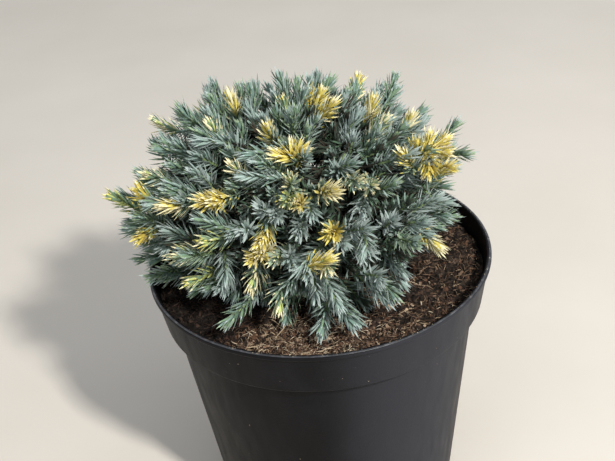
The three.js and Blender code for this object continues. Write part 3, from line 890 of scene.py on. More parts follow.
def crown_reach(aims):
    """How far the crown reaches from the hub in each direction."""
    shares = np.abs(aims) / [CROWN_REACH_X, CROWN_REACH_Y, 1]
    shares[:, 2] /= np.where(aims[:, 2] > 0, CROWN_REACH_UP, CROWN_REACH_DOWN)
    round_reach = (shares ** CROWN_CORNER).sum(-1) ** (-1 / CROWN_CORNER)
    bumps = np.ones(len(aims))
    for turn, elevation, height, spread in CROWN_BUMPS.values():
        away = np.arccos(np.clip(aims @ direction(turn, elevation), -1, 1)) / math.radians(spread)
        bumps += height * np.exp(-away ** 2)
    return round_reach * bumps


def reach_of(aim):
    """How far the crown reaches from the hub in one direction."""
    return crown_reach(aim[None])[0]


def compost_height(x, y):
    """The part's gentle relief, level round the stem."""
    from_stem = np.hypot(x - STEM_FOOT[0], y - STEM_FOOT[1])
    level = smoothstep(from_stem, *LEVEL_PATCH)
    broad = np.sin(COMPOST_WAVES["along_x"] * x + WAVE_PHASE) * np.cos(COMPOST_WAVES["along_y"] * y)
    fine = FINE_WAVES * np.sin(COMPOST_WAVES["across"] * (x + y))
    return COMPOST_TOP + COMPOST_RELIEF * level * (broad + fine)


def foliage_floor(x, y):
    """The lowest that foliage may reach: over the compost, and over the lip at the pot's edge."""
    ramp = np.clip((np.hypot(x, y) - RIM_RAMP[0]) / (RIM_RAMP[1] - RIM_RAMP[0]), 0, 1)
    return lerp(compost_height(x, y), POT_HEIGHT + RIM_CLEARANCE - NEEDLE_CLEARANCE, ramp)


def lifted(tips):
    """The tips, raised where they would lie too low."""
    tips = np.array(tips, float)
    low = foliage_floor(tips[:, 0], tips[:, 1]) + TIP_CLEARANCE
    tips[:, 2] = np.maximum(tips[:, 2], low)
    return tips


def mass_list():
    """Every mass of foliage, tier by tier, with the direction in which it lies from the hub."""
    masses = []
    for tier, count, elevation, turn in TIERS:
        for i in range(count):
            aim = direction(turn + 360 * i / count, elevation)
            masses.append(Mass(f"{tier}_{i + 1:02d}", tier, i, aim))
    return masses


def aims_of(masses):
    return np.array([mass.aim for mass in masses])


def nearest_aim(aims, aim):
    """The number of the direction that lies nearest to an aim."""
    return int(np.argmax(aims @ aim))


def twig_curve(root, tip):
    """From its fork to its tip, where a twig points away from the hub and a little upwards."""
    finish = unit(unit(tip - HUB) + np.array([0, 0, UPWARD_PULL]))
    return np.stack([root, tip - finish * TWIG_BEND * np.linalg.norm(tip - root), tip])


def spiral(count, lowest_elevation):
    """Directions spread evenly from the top down to the lowest elevation."""
    lowest = math.sin(math.radians(lowest_elevation))
    number = np.arange(count)
    rise = lerp(1, lowest, (number + 0.5) / count)
    return direction(180 * (3 - math.sqrt(5)) * number, np.degrees(np.arcsin(rise)))


def part_twigs(masses):
    """The part's own twigs, grown by the same rule and the same numbers: (mass, curve) of each."""
    random = seeded(SHOOT_SEED)
    aims = aims_of(masses)
    twigs = []
    for aim in spiral(SHOOTS, LOWEST_SHOOT_ELEVATION):
        scatter = [(2 * next(random) - 1) * SHOOT_SCATTER for _ in range(3)]
        aim = unit(aim + scatter)
        mass = nearest_aim(aims, aim)
        aim = unit(lerp(aim, aims[mass], SHOOT_PULL))
        reach = reach_of(aim) * lerp(SHORTEST_REACH, 1, next(random))
        tip = lifted([HUB + aim * reach])[0]
        away = math.acos(min(1, aim @ aims[mass]))
        fork = min(max(1 - FORK_PER_RADIAN * away, LOWEST_FORK), HIGHEST_FORK)
        share = lerp(BOUGH_SHARE, MASS_STEM_SHARE, fork)
        root = HUB + aims[mass] * reach_of(aims[mass]) * share
        twigs.append((mass, twig_curve(root, tip)))
    return twigs


def line_of_sight(pixel):
    """The camera's place and the direction in which it sees a pixel of the photograph."""
    place, (right, down, forward) = camera_frame()
    across = (pixel[0] - FRAME_WIDTH_PX / 2) / FOCAL_PX
    below = (pixel[1] - FRAME_HEIGHT_PX / 2) / FOCAL_PX
    return place, unit(forward + right * across + down * below)


def crown_point(pixel):
    """Where the line of sight through a pixel meets the crown, or passes closest to it."""
    place, sight = line_of_sight(pixel)
    near, far = SIGHT_SPAN
    distances = np.arange(CAMERA_DISTANCE + near, CAMERA_DISTANCE + far, SIGHT_STEP)
    points = place + distances[:, None] * sight
    depth = np.linalg.norm(points - HUB, axis=1) / crown_reach(unit(points - HUB))
    inside = np.nonzero(depth < CROWN_SKIN)[0]
    return lifted([points[inside[0] if len(inside) else np.argmin(depth)]])[0]


def compost_point(pixel):
    """Where the line of sight through a pixel comes down to just above the compost."""
    place, sight = line_of_sight(pixel)
    return place + sight * (COMPOST_TOP + STRAW_LIFT - place[2]) / sight[2]


def side_spray(tip_pixel, back_pixel):
    """The tip of a spray seen from the side, and the direction in which the spray points."""
    tip = crown_point(tip_pixel)
    place, sight = line_of_sight(back_pixel)
    back = place + sight * (np.linalg.norm(tip - place) + SIDE_SPRAY_SINK)
    return tip, unit(tip - back)


def side_twig(tip, mass, twigs, length, heading=None):
    """A finer twig to the tip, forking from whichever of the mass's twigs passes best."""
    best = None
    for owner, curve in twigs:
        if owner != mass:
            continue
        points, _ = quadratic(curve, SIDE_FORKS)
        if heading is None:
            gaps = np.abs(np.linalg.norm(points - tip, axis=1) - length)
            gaps += SIDE_FORK_PULL * np.linalg.norm(curve[2] - tip)
        else:
            gaps = np.linalg.norm(points - (tip - heading * length), axis=1)
        i = int(np.argmin(gaps))
        if best is None or gaps[i] < best[0]:
            best = (gaps[i], points[i])
    curve = twig_curve(best[1], tip)
    if heading is not None:
        curve[1] = tip - heading * HEADING_SHARE * np.linalg.norm(tip - best[1])
    return curve


def pixels_of(points):
    """Where points show in the photograph."""
    place, axes = camera_frame()
    across, down, ahead = ((points - place) @ axes.T).T
    middle = [FRAME_WIDTH_PX / 2, FRAME_HEIGHT_PX / 2]
    return middle + FOCAL_PX * np.stack([across, down], -1) / ahead[:, None]


def facing_camera(points):
    """How squarely each place on the crown faces the camera, from 1 in front to -1 behind."""
    return unit(points - HUB) @ unit(camera_frame()[0] - HUB)


def in_dark_gap(points):
    """Whether each point shows in one of the dark gaps, and isn't on the hidden side."""
    pixels = pixels_of(points)
    gaps = [np.hypot(*(pixels - middle).T) < radius for middle, radius in DARK_GAPS.values()]
    return np.any(gaps, axis=0) & (facing_camera(points) > FAR_SIDE_LIMIT)


def kept_from_gaps(curve):
    """The twig, or a shorter one where it would end in a dark gap."""
    if not in_dark_gap(curve[2:])[0]:
        return curve
    return twig_curve(curve[0], lifted([lerp(HUB, curve[2], GAP_REACH)])[0])


def open_places(candidates, taken, spacing):
    """The candidates that keep the spacing from the taken points and from each other."""
    kept = list(taken)
    chosen = []
    for i, point in enumerate(candidates):
        if np.min(np.linalg.norm(np.array(kept) - point, axis=1)) >= spacing:
            kept.append(point)
            chosen.append(i)
    return chosen


def wandered(curve, rng):
    """The same twig with its middle moved a little aside, so that not all sprays point off the hub."""
    length = np.linalg.norm(curve[2] - curve[0])
    return curve + np.array([[0], [1], [0]]) * rng.normal(0, TWIG_WANDER * TWIG_BEND * length, 3)


def any_kind(tip, rng):
    """A kind of spray for a tip with no known colour. The hidden side has coloured ones too."""
    kinds = UPPER_KINDS if tip[2] > HUB[2] + UPPER_KINDS_ABOVE else LOWER_KINDS
    # Tips on the right take the paler kinds, as painted light.
    if tip[0] > HUB[0] + PAINTED_LIGHT_KINDS_FROM:
        kinds = PAINTED_LIGHT_KINDS
    if facing_camera(tip) < FAR_SIDE_LIMIT:
        kinds = FAR_SIDE_KINDS
    return str(rng.choice(list(kinds), p=list(kinds.values())))


def leafy_shares(curve, rng):
    """Between which shares of its length a shoot has its young needles."""
    length = curve_length(curve)
    stop = 1 - TUFT_REACH / length
    return max(stop - rng.uniform(*LEAFY_LENGTH) / length, BARE_SHARE), stop


def named_sprays(masses, twigs, kinds):
    """Shoots for the sprays with a known place. A part's twig that ends close to one takes its kind."""
    aims = aims_of(masses)
    tips = np.array([curve[2] for _, curve in twigs])
    shoots = []
    for kind, places in SPRAY_TIPS.items():
        for pixel in places.values():
            tip = crown_point(pixel)
            away = np.linalg.norm(tips - tip, axis=1)
            nearest = int(np.argmin(away))
            if away[nearest] < TAKEN_OVER_WITHIN:
                kinds[nearest] = kind
                continue
            mass = nearest_aim(aims, unit(tip - HUB))
            shoots.append((mass, side_twig(tip, mass, twigs, FINER_LENGTH), kind))
    for kind, tip_pixel, back_pixel in SIDE_SPRAYS.values():
        tip, heading = side_spray(tip_pixel, back_pixel)
        mass = nearest_aim(aims, unit(tip - HUB))
        shoots.append((mass, side_twig(tip, mass, twigs, FINER_LENGTH, heading), kind))
    return shoots


def grow_shoots(masses):
    """Every shoot of the crown: the part's twigs, the named sprays, finer twigs and inner ones."""
    rng = np.random.default_rng(FINER_SEED)
    aims = aims_of(masses)
    twigs = [(mass, kept_from_gaps(curve)) for mass, curve in part_twigs(masses)]
    kinds = [any_kind(curve[2], rng) for _, curve in twigs]
    grown = named_sprays(masses, twigs, kinds)
    shoots = [(*shoot, SIDE_TWIG_RADIUS) for shoot in grown]
    for (mass, curve), kind in zip(twigs, kinds):
        shoots.append((mass, wandered(curve, rng), kind, TWIG_ROOT_RADIUS))

    def fill(tries, reach, spacing, length, taken, kind=None):
        scatter = rng.normal(0, FINER_SCATTER, (tries, 3))
        candidates = unit(spiral(tries, LOWEST_SHOOT_ELEVATION) + scatter)
        rng.shuffle(candidates)
        reaches = crown_reach(candidates) * rng.uniform(*reach, tries)
        places = lifted(HUB + candidates * reaches[:, None])
        free = ~in_dark_gap(places)
        candidates, places = candidates[free], places[free]
        for i in open_places(places, taken, spacing):
            mass = nearest_aim(aims, candidates[i])
            curve = wandered(side_twig(places[i], mass, twigs, length), rng)
            shoots.append((mass, curve, kind or any_kind(places[i], rng), SIDE_TWIG_RADIUS))

    outer_tips = [curve[2] for _, curve, *_ in shoots]
    fill(FINER_TRIES, FINER_REACH, FINER_SPACING, FINER_LENGTH, outer_tips)
    fill(INNER_TRIES, INNER_REACH, INNER_SPACING, INNER_LENGTH, [HUB], "old")
    return [Shoot(*shoot, *leafy_shares(shoot[1], rng)) for shoot in shoots]


# Needles

# A needle is a curved leaf with a flat inner face and a keeled back: three rings of corners, and a tip.
RINGS = (0.0, 0.36, 0.74)
RING_WIDTHS = (0.7, 1.0, 0.66)
CORNERS = 3
NEEDLE_POINTS = len(RINGS) * CORNERS + 1
INNER_FACE, OUTER_FACE, POINT = 0, 1, 2


def needle_faces():
    """The triangles of one needle, and for each which part of the needle it is on."""
    faces = [(0, 1, 2)]
    parts = [OUTER_FACE]
    for k in range(CORNERS):
        following = (k + 1) % CORNERS
        side = INNER_FACE if k == 0 else OUTER_FACE
        for ring in range(len(RINGS) - 1):
            low, high = ring * CORNERS, (ring + 1) * CORNERS
            faces.append((low + k, high + following, low + following))
            faces.append((low + k, high + k, high + following))
            parts += [side, side]
        last = (len(RINGS) - 1) * CORNERS
        faces.append((last + k, NEEDLE_POINTS - 1, last + following))
        parts.append(POINT)
    return np.array(faces), np.array(parts)


def whorls_of(curve, start, stop, spacing, rng):
    """For needles between two shares of a curve: shares of the curve, of the stretch, and turns."""
    count = max(1, int((stop - start) * curve_length(curve) / spacing))
    share = np.repeat(np.linspace(0, 1, count), NEEDLES_PER_WHORL)
    share = np.clip(share + rng.normal(0, WHORL_SCATTER / count, len(share)), 0, 1)
    number = np.repeat(np.arange(count), NEEDLES_PER_WHORL)
    turn = np.tile(full_turn(NEEDLES_PER_WHORL), count)
    turn += number * np.pi / NEEDLES_PER_WHORL + WHORL_TWIST * number
    turn += rng.normal(0, TURN_SCATTER, len(turn))
    return lerp(start, stop, share), share, turn


def young_needles(shoot, rng):
    spacing = DENSE_WHORL_SPACING if shoot.kind in DENSE_KINDS else WHORL_SPACING
    at, share, turn = whorls_of(shoot.curve, shoot.leafy_from, shoot.leafy_to, spacing, rng)
    angle = lerp(NEEDLE_ANGLE, NEEDLE_ANGLE_AT_TIP, share ** CLOSING_POWER)
    size = YOUNG_SIZE + YOUNG_SWELL * np.sin(np.pi * (SWELL_START + SWELL_SPAN * share))
    return at, share, turn, angle, size


def tuft_needles(shoot):
    whole = np.ones(TUFT_NEEDLES)
    turn = TUFT_TURN * np.arange(TUFT_NEEDLES)
    angle = np.linspace(*TUFT_ANGLES, TUFT_NEEDLES)
    return whole * shoot.leafy_to, whole, turn, angle, np.linspace(*TUFT_SIZES, TUFT_NEEDLES)


def old_needles(shoot, rng):
    at, share, turn = whorls_of(shoot.curve, BARE_SHARE, shoot.leafy_from, OLD_WHORL_SPACING, rng)
    whole = np.ones(len(at))
    return at, whole * 0, turn, whole * OLD_NEEDLE_ANGLE, whole * OLD_NEEDLE_SIZE


def needles_of(shoot, rng):
    """A shoot's needles: place, direction, inner side, size, share along the spray and kind."""
    stretches = [young_needles(shoot, rng), tuft_needles(shoot)]
    kinds = [shoot.kind] * sum(len(stretch[0]) for stretch in stretches)
    if shoot.leafy_from > BARE_SHARE:
        stretches.append(old_needles(shoot, rng))
        kinds += ["old"] * len(stretches[-1][0])
    at, share, turn, angle, size = (np.concatenate(column) for column in zip(*stretches))
    points, along = quadratic(shoot.curve, at)
    angle = np.radians(angle + rng.normal(0, ANGLE_SCATTER, len(at)))[:, None]
    size = size * rng.uniform(*SIZE_SPREAD, len(at)) * rng.uniform(*SPRAY_SIZE_SPREAD)
    reference = unit(np.cross(along[0], SPRAY_REFERENCE))
    side = unit(reference - along * (along @ reference)[:, None])
    radial = side * np.cos(turn)[:, None] + np.cross(along, side) * np.sin(turn)[:, None]
    outward = along * np.cos(angle) + radial * np.sin(angle)
    inner = along * np.sin(angle) - radial * np.cos(angle)
    return points + radial * NEEDLE_FOOT, outward, inner, size, share, np.array(kinds)


def needle_points(place, outward, inner, length, rng):
    """The corners of the needles, each turned and bent inwards a little at random."""
    count = len(place)
    roll = rng.normal(0, ROLL_SCATTER, count)[:, None]
    sideways = np.cross(outward, inner)
    sideways, inner = (
        sideways * np.cos(roll) + inner * np.sin(roll),
        inner * np.cos(roll) - sideways * np.sin(roll),
    )
    bend = rng.uniform(*BEND_SPREAD, count)[:, None] * length
    width = NEEDLE_WIDTH * rng.uniform(*WIDTH_SPREAD, count)[:, None]
    width = width * np.minimum(1, length / FULL_WIDTH_LENGTH)
    points = np.empty((count, NEEDLE_POINTS, 3))
    for ring, (at, wide) in enumerate(zip(RINGS, RING_WIDTHS)):
        centre = place + outward * length * at + inner * bend * at * at
        half = sideways * width * wide / 2
        points[:, CORNERS * ring] = centre + half
        points[:, CORNERS * ring + 1] = centre - half
        points[:, CORNERS * ring + 2] = centre - inner * width * wide * NEEDLE_KEEL
    points[:, -1] = place + outward * length + inner * bend
    return points


def needle_wear(share, kinds, rng):
    """For each needle, the numbers of the colours on its inner face, outer face and point."""
    colours = list(NEEDLE_COLOURS)
    worn = np.empty((len(kinds), 3), int)
    coloured = np.isin(kinds, DENSE_KINDS)
    gradual = rng.random(len(kinds)) < share * COLOURING_GAIN
    sudden = share + rng.normal(0, COLOURED_BLEND, len(kinds)) > COLOURED_FROM
    high = np.where(coloured, sudden, gradual)
    for kind, halves in SPRAY_KINDS.items():
        for half, faces in enumerate(halves):
            chosen = np.nonzero((kinds == kind) & (high == bool(half)))[0]
            for face, names in enumerate(faces):
                numbers = [colours.index(name) for name in names]
                worn[chosen, face] = rng.choice(numbers, len(chosen))
    return worn


def needle_mesh(parts, rng):
    """Point, face and face colour arrays of all the needles in the parts."""
    columns = [np.concatenate(column) for column in zip(*parts)]
    place, outward, _, size, *_ = columns
    tips = place + outward * NEEDLE_LENGTH * size[:, None]
    kept = tips[:, 2] > foliage_floor(tips[:, 0], tips[:, 1]) + NEEDLE_CLEARANCE
    place, outward, inner, size, share, kinds = (column[kept] for column in columns)
    points = needle_points(place, outward, inner, NEEDLE_LENGTH * size[:, None], rng)
    pattern, part_of_needle = needle_faces()
    faces = repeated(pattern, NEEDLE_POINTS, len(place))
    return points.reshape(-1, 3), faces, needle_wear(share, kinds, rng)[:, part_of_needle].ravel()


def mark_needle_edges(obj):
    """The two long edges of each needle's inner face stay crisp, and its back is smooth."""
    mesh = obj.data
    ends = np.empty(len(mesh.edges) * 2, np.int32)
    mesh.edges.foreach_get("vertices", ends)
    corner = ends.reshape(-1, 2) % NEEDLE_POINTS
    at_tip = corner == NEEDLE_POINTS - 1
    corner = np.where(at_tip, -1, corner % CORNERS)
    lengthwise = (corner[:, 0] == corner[:, 1]) | at_tip.any(axis=1)
    sharp = lengthwise & (corner.max(axis=1) < 2)
    attribute = mesh.attributes.new("sharp_edge", "BOOLEAN", "EDGE")
    attribute.data.foreach_set("value", sharp)


def make_needles(masses, shoots, materials):
    rng = np.random.default_rng(FINER_SEED + 1)
    for number, mass in enumerate(masses):
        parts = [needles_of(shoot, rng) for shoot in shoots if shoot.mass == number]
        points, faces, colours = needle_mesh(parts, rng)
        obj = mesh_object(f"needles_{mass.name}", points, faces, materials, colours)
        mark_needle_edges(obj)
        dress(obj, "foliage", f"foliage_{mass.name}")


def twig_tube(shoot):
    """A shoot's twig, and for each of its faces whether it is young and green."""
    shares = np.linspace(0, shoot.leafy_to, TWIG_STEPS + 1)
    radii = lerp(shoot.radius, TWIG_TIP_RADIUS, shares)
    points, faces = tube(quadratic(shoot.curve, shares)[0], radii, TWIG_SIDES)
    young = np.repeat(shares[:-1] > shoot.leafy_from, 2 * TWIG_SIDES)
    return (points, faces), np.concatenate([young, np.repeat([False, True], TWIG_SIDES)])


def mass_stem(mass):
    """The limb from which a mass's twigs fork."""
    shares = np.linspace(BOUGH_SHARE, MASS_STEM_SHARE, MASS_STEM_STEPS)
    centres = HUB + np.outer(shares * reach_of(mass.aim), mass.aim)
    radii = np.linspace(MASS_STEM_RADIUS, TWIG_ROOT_RADIUS, MASS_STEM_STEPS)
    return tube(centres, radii, MASS_STEM_SIDES)


def make_twigs(masses, shoots, materials):
    for number, mass in enumerate(masses):
        stem = mass_stem(mass)
        tubes = [stem]
        young = [np.zeros(len(stem[1]), bool)]
        for shoot in shoots:
            if shoot.mass == number:
                twig, is_young = twig_tube(shoot)
                tubes.append(twig)
                young.append(is_young)
        twigs = mesh_object(f"twigs_{mass.name}", *joined(tubes), materials, np.concatenate(young))
        dress(twigs, "bark")


# Stem and boughs, with the bark's relief

def bark_tube(centres, radii, sides, seed):
    """A tube whose skin has long, shallow ridges that wander round it."""
    steps = len(centres)
    along = np.linspace(0, line_length(centres), steps)[:, None] * np.ones(sides)
    turn = np.arange(sides) / sides * np.ones((steps, 1))
    coarse, fine = (
        lattice_noise(along, turn * cells, size, seed + i) for i, (cells, size) in enumerate(BARK_NOISE)
    )
    strand = np.sin(2 * np.pi * (BARK_STRANDS * turn + BARK_TWIST * along) + BARK_WANDER * coarse)
    ridge = RIDGE_SHARE * np.abs(strand) + GRAIN_SHARE * fine
    radii = np.reshape(radii, (steps, -1)) * (1 + BARK_RELIEF * (ridge - GRAIN_SHARE))
    return tube(centres, radii, sides)


def stem_points(share):
    """Points on the stem's curve at shares of its rise, and the rise."""
    tip = HUB + np.array([0, 0, BOUGH_SHARE * reach_of(np.array([0, 0, 1.0])) - SEAT_GAP])
    rise = tip[2] - STEM_FOOT[2]
    low = STEM_FOOT + [0, 0, STEM_UPRIGHT_SHARE * rise]
    high = tip - [0, 0, STEM_UPRIGHT_SHARE * rise]
    t = np.asarray(share, float)[:, None]
    a, b, c, d = (1 - t) ** 3, 3 * t * (1 - t) ** 2, 3 * t * t * (1 - t), t ** 3
    return STEM_FOOT * a + low * b + high * c + tip * d, rise


def make_stem(material):
    shares = np.linspace(0, 1, STEM_STEPS)
    centres, rise = stem_points(shares)
    flare = np.maximum(0, 1 - shares * rise / ROOT_FLARE_HEIGHT)[:, None] ** 2
    buttress = 1 + BUTTRESS_SHARE * np.cos(BUTTRESSES * full_turn(STEM_SIDES))
    radii = lerp(STEM_FOOT_RADIUS, STEM_TIP_RADIUS, shares)[:, None] + ROOT_FLARE * flare * buttress
    points, faces = bark_tube(centres, radii, STEM_SIDES, STEM_BARK_SEED)
    dress(mesh_object("stem_bark", points, faces, [material]), "bark", "stem")


def bough(mass):
    """One bough, from the stem to where its mass begins."""
    heights = BOUGH_HEIGHTS[mass.tier]
    _, rise = stem_points([0])
    root = stem_points([heights[mass.index % len(heights)] / rise])[0][0]
    end = HUB + mass.aim * (BOUGH_SHARE * reach_of(mass.aim) - SEAT_GAP)
    bend = end - mass.aim * BOUGH_BEND * np.linalg.norm(end - root)
    shares = np.linspace(0, 1, BOUGH_STEPS)
    centres, _ = quadratic(np.stack([root, bend, end]), shares)
    radii = lerp(BOUGH_ROOT_RADIUS, BOUGH_TIP_RADIUS, shares)
    return bark_tube(centres, radii, BOUGH_SIDES, mass.index + BOUGH_BARK_SEED)


def make_boughs(masses, material):
    for tier in BOUGH_HEIGHTS:
        owners = [mass for mass in masses if mass.tier == tier]
        boughs = mesh_object(f"boughs_{tier}", *joined([bough(mass) for mass in owners]), [material])
        dress(boughs, "bark", *(f"bough_{mass.name}" for mass in owners))


# Pot

def pot_wall_radius(z):
    return lerp(BASE_RADIUS, COLLAR_FOOT_RADIUS - COLLAR_STEP, z / COLLAR_FOOT)


def collar_radius(z):
    return lerp(COLLAR_FOOT_RADIUS, RIM_RADIUS - LIP_ROUND, (z - COLLAR_FOOT) / COLLAR_HEIGHT)


def fillet(centre, radius, start, stop, steps=5):
    """Profile points on an arc round a centre, between two angles in degrees."""
    angles = np.radians(np.linspace(start, stop, steps))
    return [(centre[0] + radius * math.cos(a), centre[1] + radius * math.sin(a)) for a in angles]


def straight(start, stop, steps):
    """Profile points between two others, without the ends."""
    return [tuple(lerp(np.array(start), np.array(stop), i / steps)) for i in range(1, steps)]


def pot_inside():
    """Radius and height of the inside's corners, from the floor up to the lip."""
    low_shoulder = COLLAR_FOOT - INNER_EASE
    shoulder = COLLAR_FOOT + WALL + INNER_EASE
    return [
        (pot_wall_radius(FLOOR_THICKNESS) - WALL, FLOOR_THICKNESS),
        (pot_wall_radius(low_shoulder) - WALL, low_shoulder),
        (collar_radius(shoulder) - WALL, shoulder),
        (RIM_RADIUS - LIP_WIDTH, POT_HEIGHT - INNER_EASE),
    ]


def pot_profile():
    """Radius and height from the underside's middle, up the outside, over the lip and down inside."""
    lip_foot = POT_HEIGHT - LIP_HEIGHT
    under_collar = (pot_wall_radius(COLLAR_UNDERSIDE), COLLAR_UNDERSIDE)
    under_lip = (collar_radius(lip_foot), lip_foot)
    floor_edge, low_shoulder, shoulder, lip_edge = pot_inside()
    points = [(0, 0), (UNDERSIDE_RING, 0), (BASE_RADIUS - BASE_ROUND, 0)]
    points += fillet((BASE_RADIUS - BASE_ROUND, BASE_ROUND), BASE_ROUND, -80, 0)
    points += straight(points[-1], under_collar, WALL_STEPS)
    points += [under_collar, (COLLAR_EDGE_RADIUS, COLLAR_UNDERSIDE)]
    points += fillet((COLLAR_FOOT_RADIUS - COLLAR_ROUND, COLLAR_ROUND_HEIGHT), COLLAR_ROUND, -75, 0, 4)
    points += straight(points[-1], under_lip, COLLAR_STEPS)
    points += [under_lip]
    points += fillet((RIM_RADIUS - LIP_ROUND, lip_foot + LIP_FOOT_RISE), LIP_ROUND, -70, 0, 4)
    points += fillet((RIM_RADIUS - LIP_ROUND, POT_HEIGHT - LIP_ROUND), LIP_ROUND, 0, 90)
    points += [(RUBBED_RADIUS, POT_HEIGHT)]
    points += fillet((INNER_LIP_RADIUS, POT_HEIGHT - LIP_ROUND), LIP_ROUND, 90, 180)
    points += [lip_edge, shoulder, low_shoulder]
    points += straight(low_shoulder, floor_edge, COLLAR_STEPS)
    return points + [floor_edge, (0, FLOOR_THICKNESS)]


def lathe(profile, segments):
    """A closed body of revolution, in triangles, whose profile starts and ends on the axis."""
    rings = np.array(profile[1:-1])
    points = around(rings[:, :1], full_turn(segments), rings[:, 1:] * np.ones(segments)).reshape(-1, 3)
    ends = [[0, 0, profile[0][1]], [0, 0, profile[-1][1]]]
    return np.concatenate([points, ends]), closed_faces(len(rings), segments)


def cut_out(obj, cutter):
    """Takes the cutter's shape out of the piece, and removes the cutter."""
    cut = obj.modifiers.new("cut", "BOOLEAN")
    cut.object = cutter
    cut.operation = "DIFFERENCE"
    cut.solver = "EXACT"
    evaluated = obj.evaluated_get(bpy.context.evaluated_depsgraph_get())
    mesh = bpy.data.meshes.new_from_object(evaluated)
    obj.modifiers.clear()
    obj.data = mesh
    bpy.data.objects.remove(cutter)


def make_pot(materials):
    """The shell with its drain holes. The first finish is plain, the second is for the rubbed lip."""
    points, faces = lathe(pot_profile(), POT_SEGMENTS)
    corners = points[faces]
    high = corners[:, :, 2].min(axis=1) > POT_HEIGHT - LIP_ROUND / 2
    rubbed = high & (np.hypot(corners[:, :, 0], corners[:, :, 1]).min(axis=1) > RUBBED_RADIUS - 0.01)
    pot = mesh_object("pot_shell", points, faces, materials, rubbed)
    drills = []
    for turn in full_turn(DRAIN_HOLES):
        line = [around(DRAIN_CIRCLE_RADIUS, turn, height) for height in (DRILL_FOOT, DRILL_TOP)]
        drills.append(tube(line, [DRAIN_RADIUS] * 2, DRAIN_SIDES))
    cut_out(pot, mesh_object("drain_holes", *joined(drills), materials))
    pot.data.set_sharp_from_angle(angle=math.radians(SHARP_ANGLE))
    dress(pot, "pot", "pot")


# Compost

def soil_height(x, y):
    """The compost's surface: the part's relief with clods and crumbs on it."""
    height = compost_height(x, y)
    for i, (cell, relief) in enumerate(CLOD_CELLS.items()):
        height = height + relief * lattice_noise(x + CLOD_SHIFT, y + CLOD_SHIFT, cell, CLOD_SEED + i)
    return height


def on_soil(x, y):
    """Places on the compost's surface."""
    return np.stack([x, y, soil_height(x, y)], -1)


def compost_edge():
    """The radius of the compost's surface."""
    _, _, shoulder, lip_edge = pot_inside()
    share = (COMPOST_TOP - shoulder[1]) / (lip_edge[1] - shoulder[1])
    return lerp(shoulder[0], lip_edge[0], share) - COMPOST_CLEARANCE


def dryness(x, y):
    """How dry and pale the compost is at a place: 0 on the left of the pot, where its shade is painted,
    and most by its front.
    """
    beyond = (x - SHADE_EDGE[0]) * SHADE_SIDE[0] + (y - SHADE_EDGE[1]) * SHADE_SIDE[1]
    return (1 - smoothstep(beyond, *SHADE_BLEND)) * lerp(1, DRY_AT_RIGHT, smoothstep(x, *RIGHT_BLEND))


def colours_by_dryness(places, count, rng):
    """For each place, the number of a colour: dark where shade is painted on the compost, pale where it
    is dry.
    """
    pick = rng.random(len(places)) * lerp(*PALENESS, dryness(places[:, 0], places[:, 1]))
    return np.minimum((pick * count).astype(int), count - 1)


def disc_grid():
    """The places of a square grid that is drawn onto the compost's disc."""
    steps = np.linspace(-1, 1, COMPOST_CELLS + 1)
    off_zero = 1e-9
    a, b = (side.ravel() + off_zero for side in np.meshgrid(steps, steps, indexing="ij"))
    wide = np.abs(a) > np.abs(b)
    radius = compost_edge() * np.where(wide, a, b)
    turn = np.where(wide, np.pi / 4 * b / a, np.pi / 2 - np.pi / 4 * a / b)
    return radius * np.cos(turn), radius * np.sin(turn)


def compost_body():
    """The compost's surface, and the closed body below it that fills the pot down to its floor."""
    x, y = disc_grid()
    points = [on_soil(x, y)]
    last = COMPOST_CELLS
    side = last + 1
    cell = np.arange(last)
    corner = (cell[:, None] * side + cell[None]).ravel()
    faces = halves(corner, corner + side, corner + side + 1, corner + 1)
    rim = np.concatenate([cell * side, last * side + cell, (last - cell) * side + last, last - cell])
    floor_edge, low_shoulder, shoulder, _ = pot_inside()
    high = rim
    count = side * side
    for level_radius, z in (shoulder, low_shoulder, (floor_edge[0], floor_edge[1] + COMPOST_CLEARANCE)):
        scale = (level_radius - COMPOST_CLEARANCE) / compost_edge()
        points.append(np.stack([x[rim] * scale, y[rim] * scale, np.full(len(rim), z)], -1))
        low = count + np.arange(len(rim))
        count += len(rim)
        faces += halves(high, low, np.roll(low, -1), np.roll(high, -1))
        high = low
    points.append([[0, 0, z]])
    faces.append(np.stack([high, np.full(len(rim), count), np.roll(high, -1)], -1))
    return np.concatenate(points), np.concatenate(faces)


def make_compost(materials):
    """The filling. The first, darker finish is painted shade on the left and falls on a few faces
    elsewhere; the second is the drier compost.
    """
    points, faces = compost_body()
    middles = points[faces].mean(axis=1)
    # Faces on the left all take the darker finish, as painted shade.
    dry = np.random.default_rng(DRY_SEED).random(len(faces)) < dryness(middles[:, 0], middles[:, 1])
    dress(mesh_object("compost_bed", points, faces, materials, dry), "compost", "compost")


def scattered(count, rng):
    """Places on the compost, away from the stem."""
    radius = (compost_edge() - LITTER_MARGIN) * np.sqrt(rng.random(count * 2))
    turn = rng.uniform(0, 2 * np.pi, count * 2)
    x, y = radius * np.cos(turn), radius * np.sin(turn)
    free = np.hypot(x - STEM_FOOT[0], y - STEM_FOOT[1]) > STEM_CLEARANCE
    return on_soil(x[free][:count], y[free][:count])


def in_dry_patch(count, rng):
    """Places close to the front of the pot, where the compost is dry and pale."""
    x, y, spread = DRY_PATCH
    x, y = rng.normal(x, spread, count), rng.normal(y, spread / DRY_PATCH_SHAPE, count)
    inside = np.hypot(x, y) < compost_edge() - EDGE_MARGIN
    return on_soil(x[inside], y[inside])


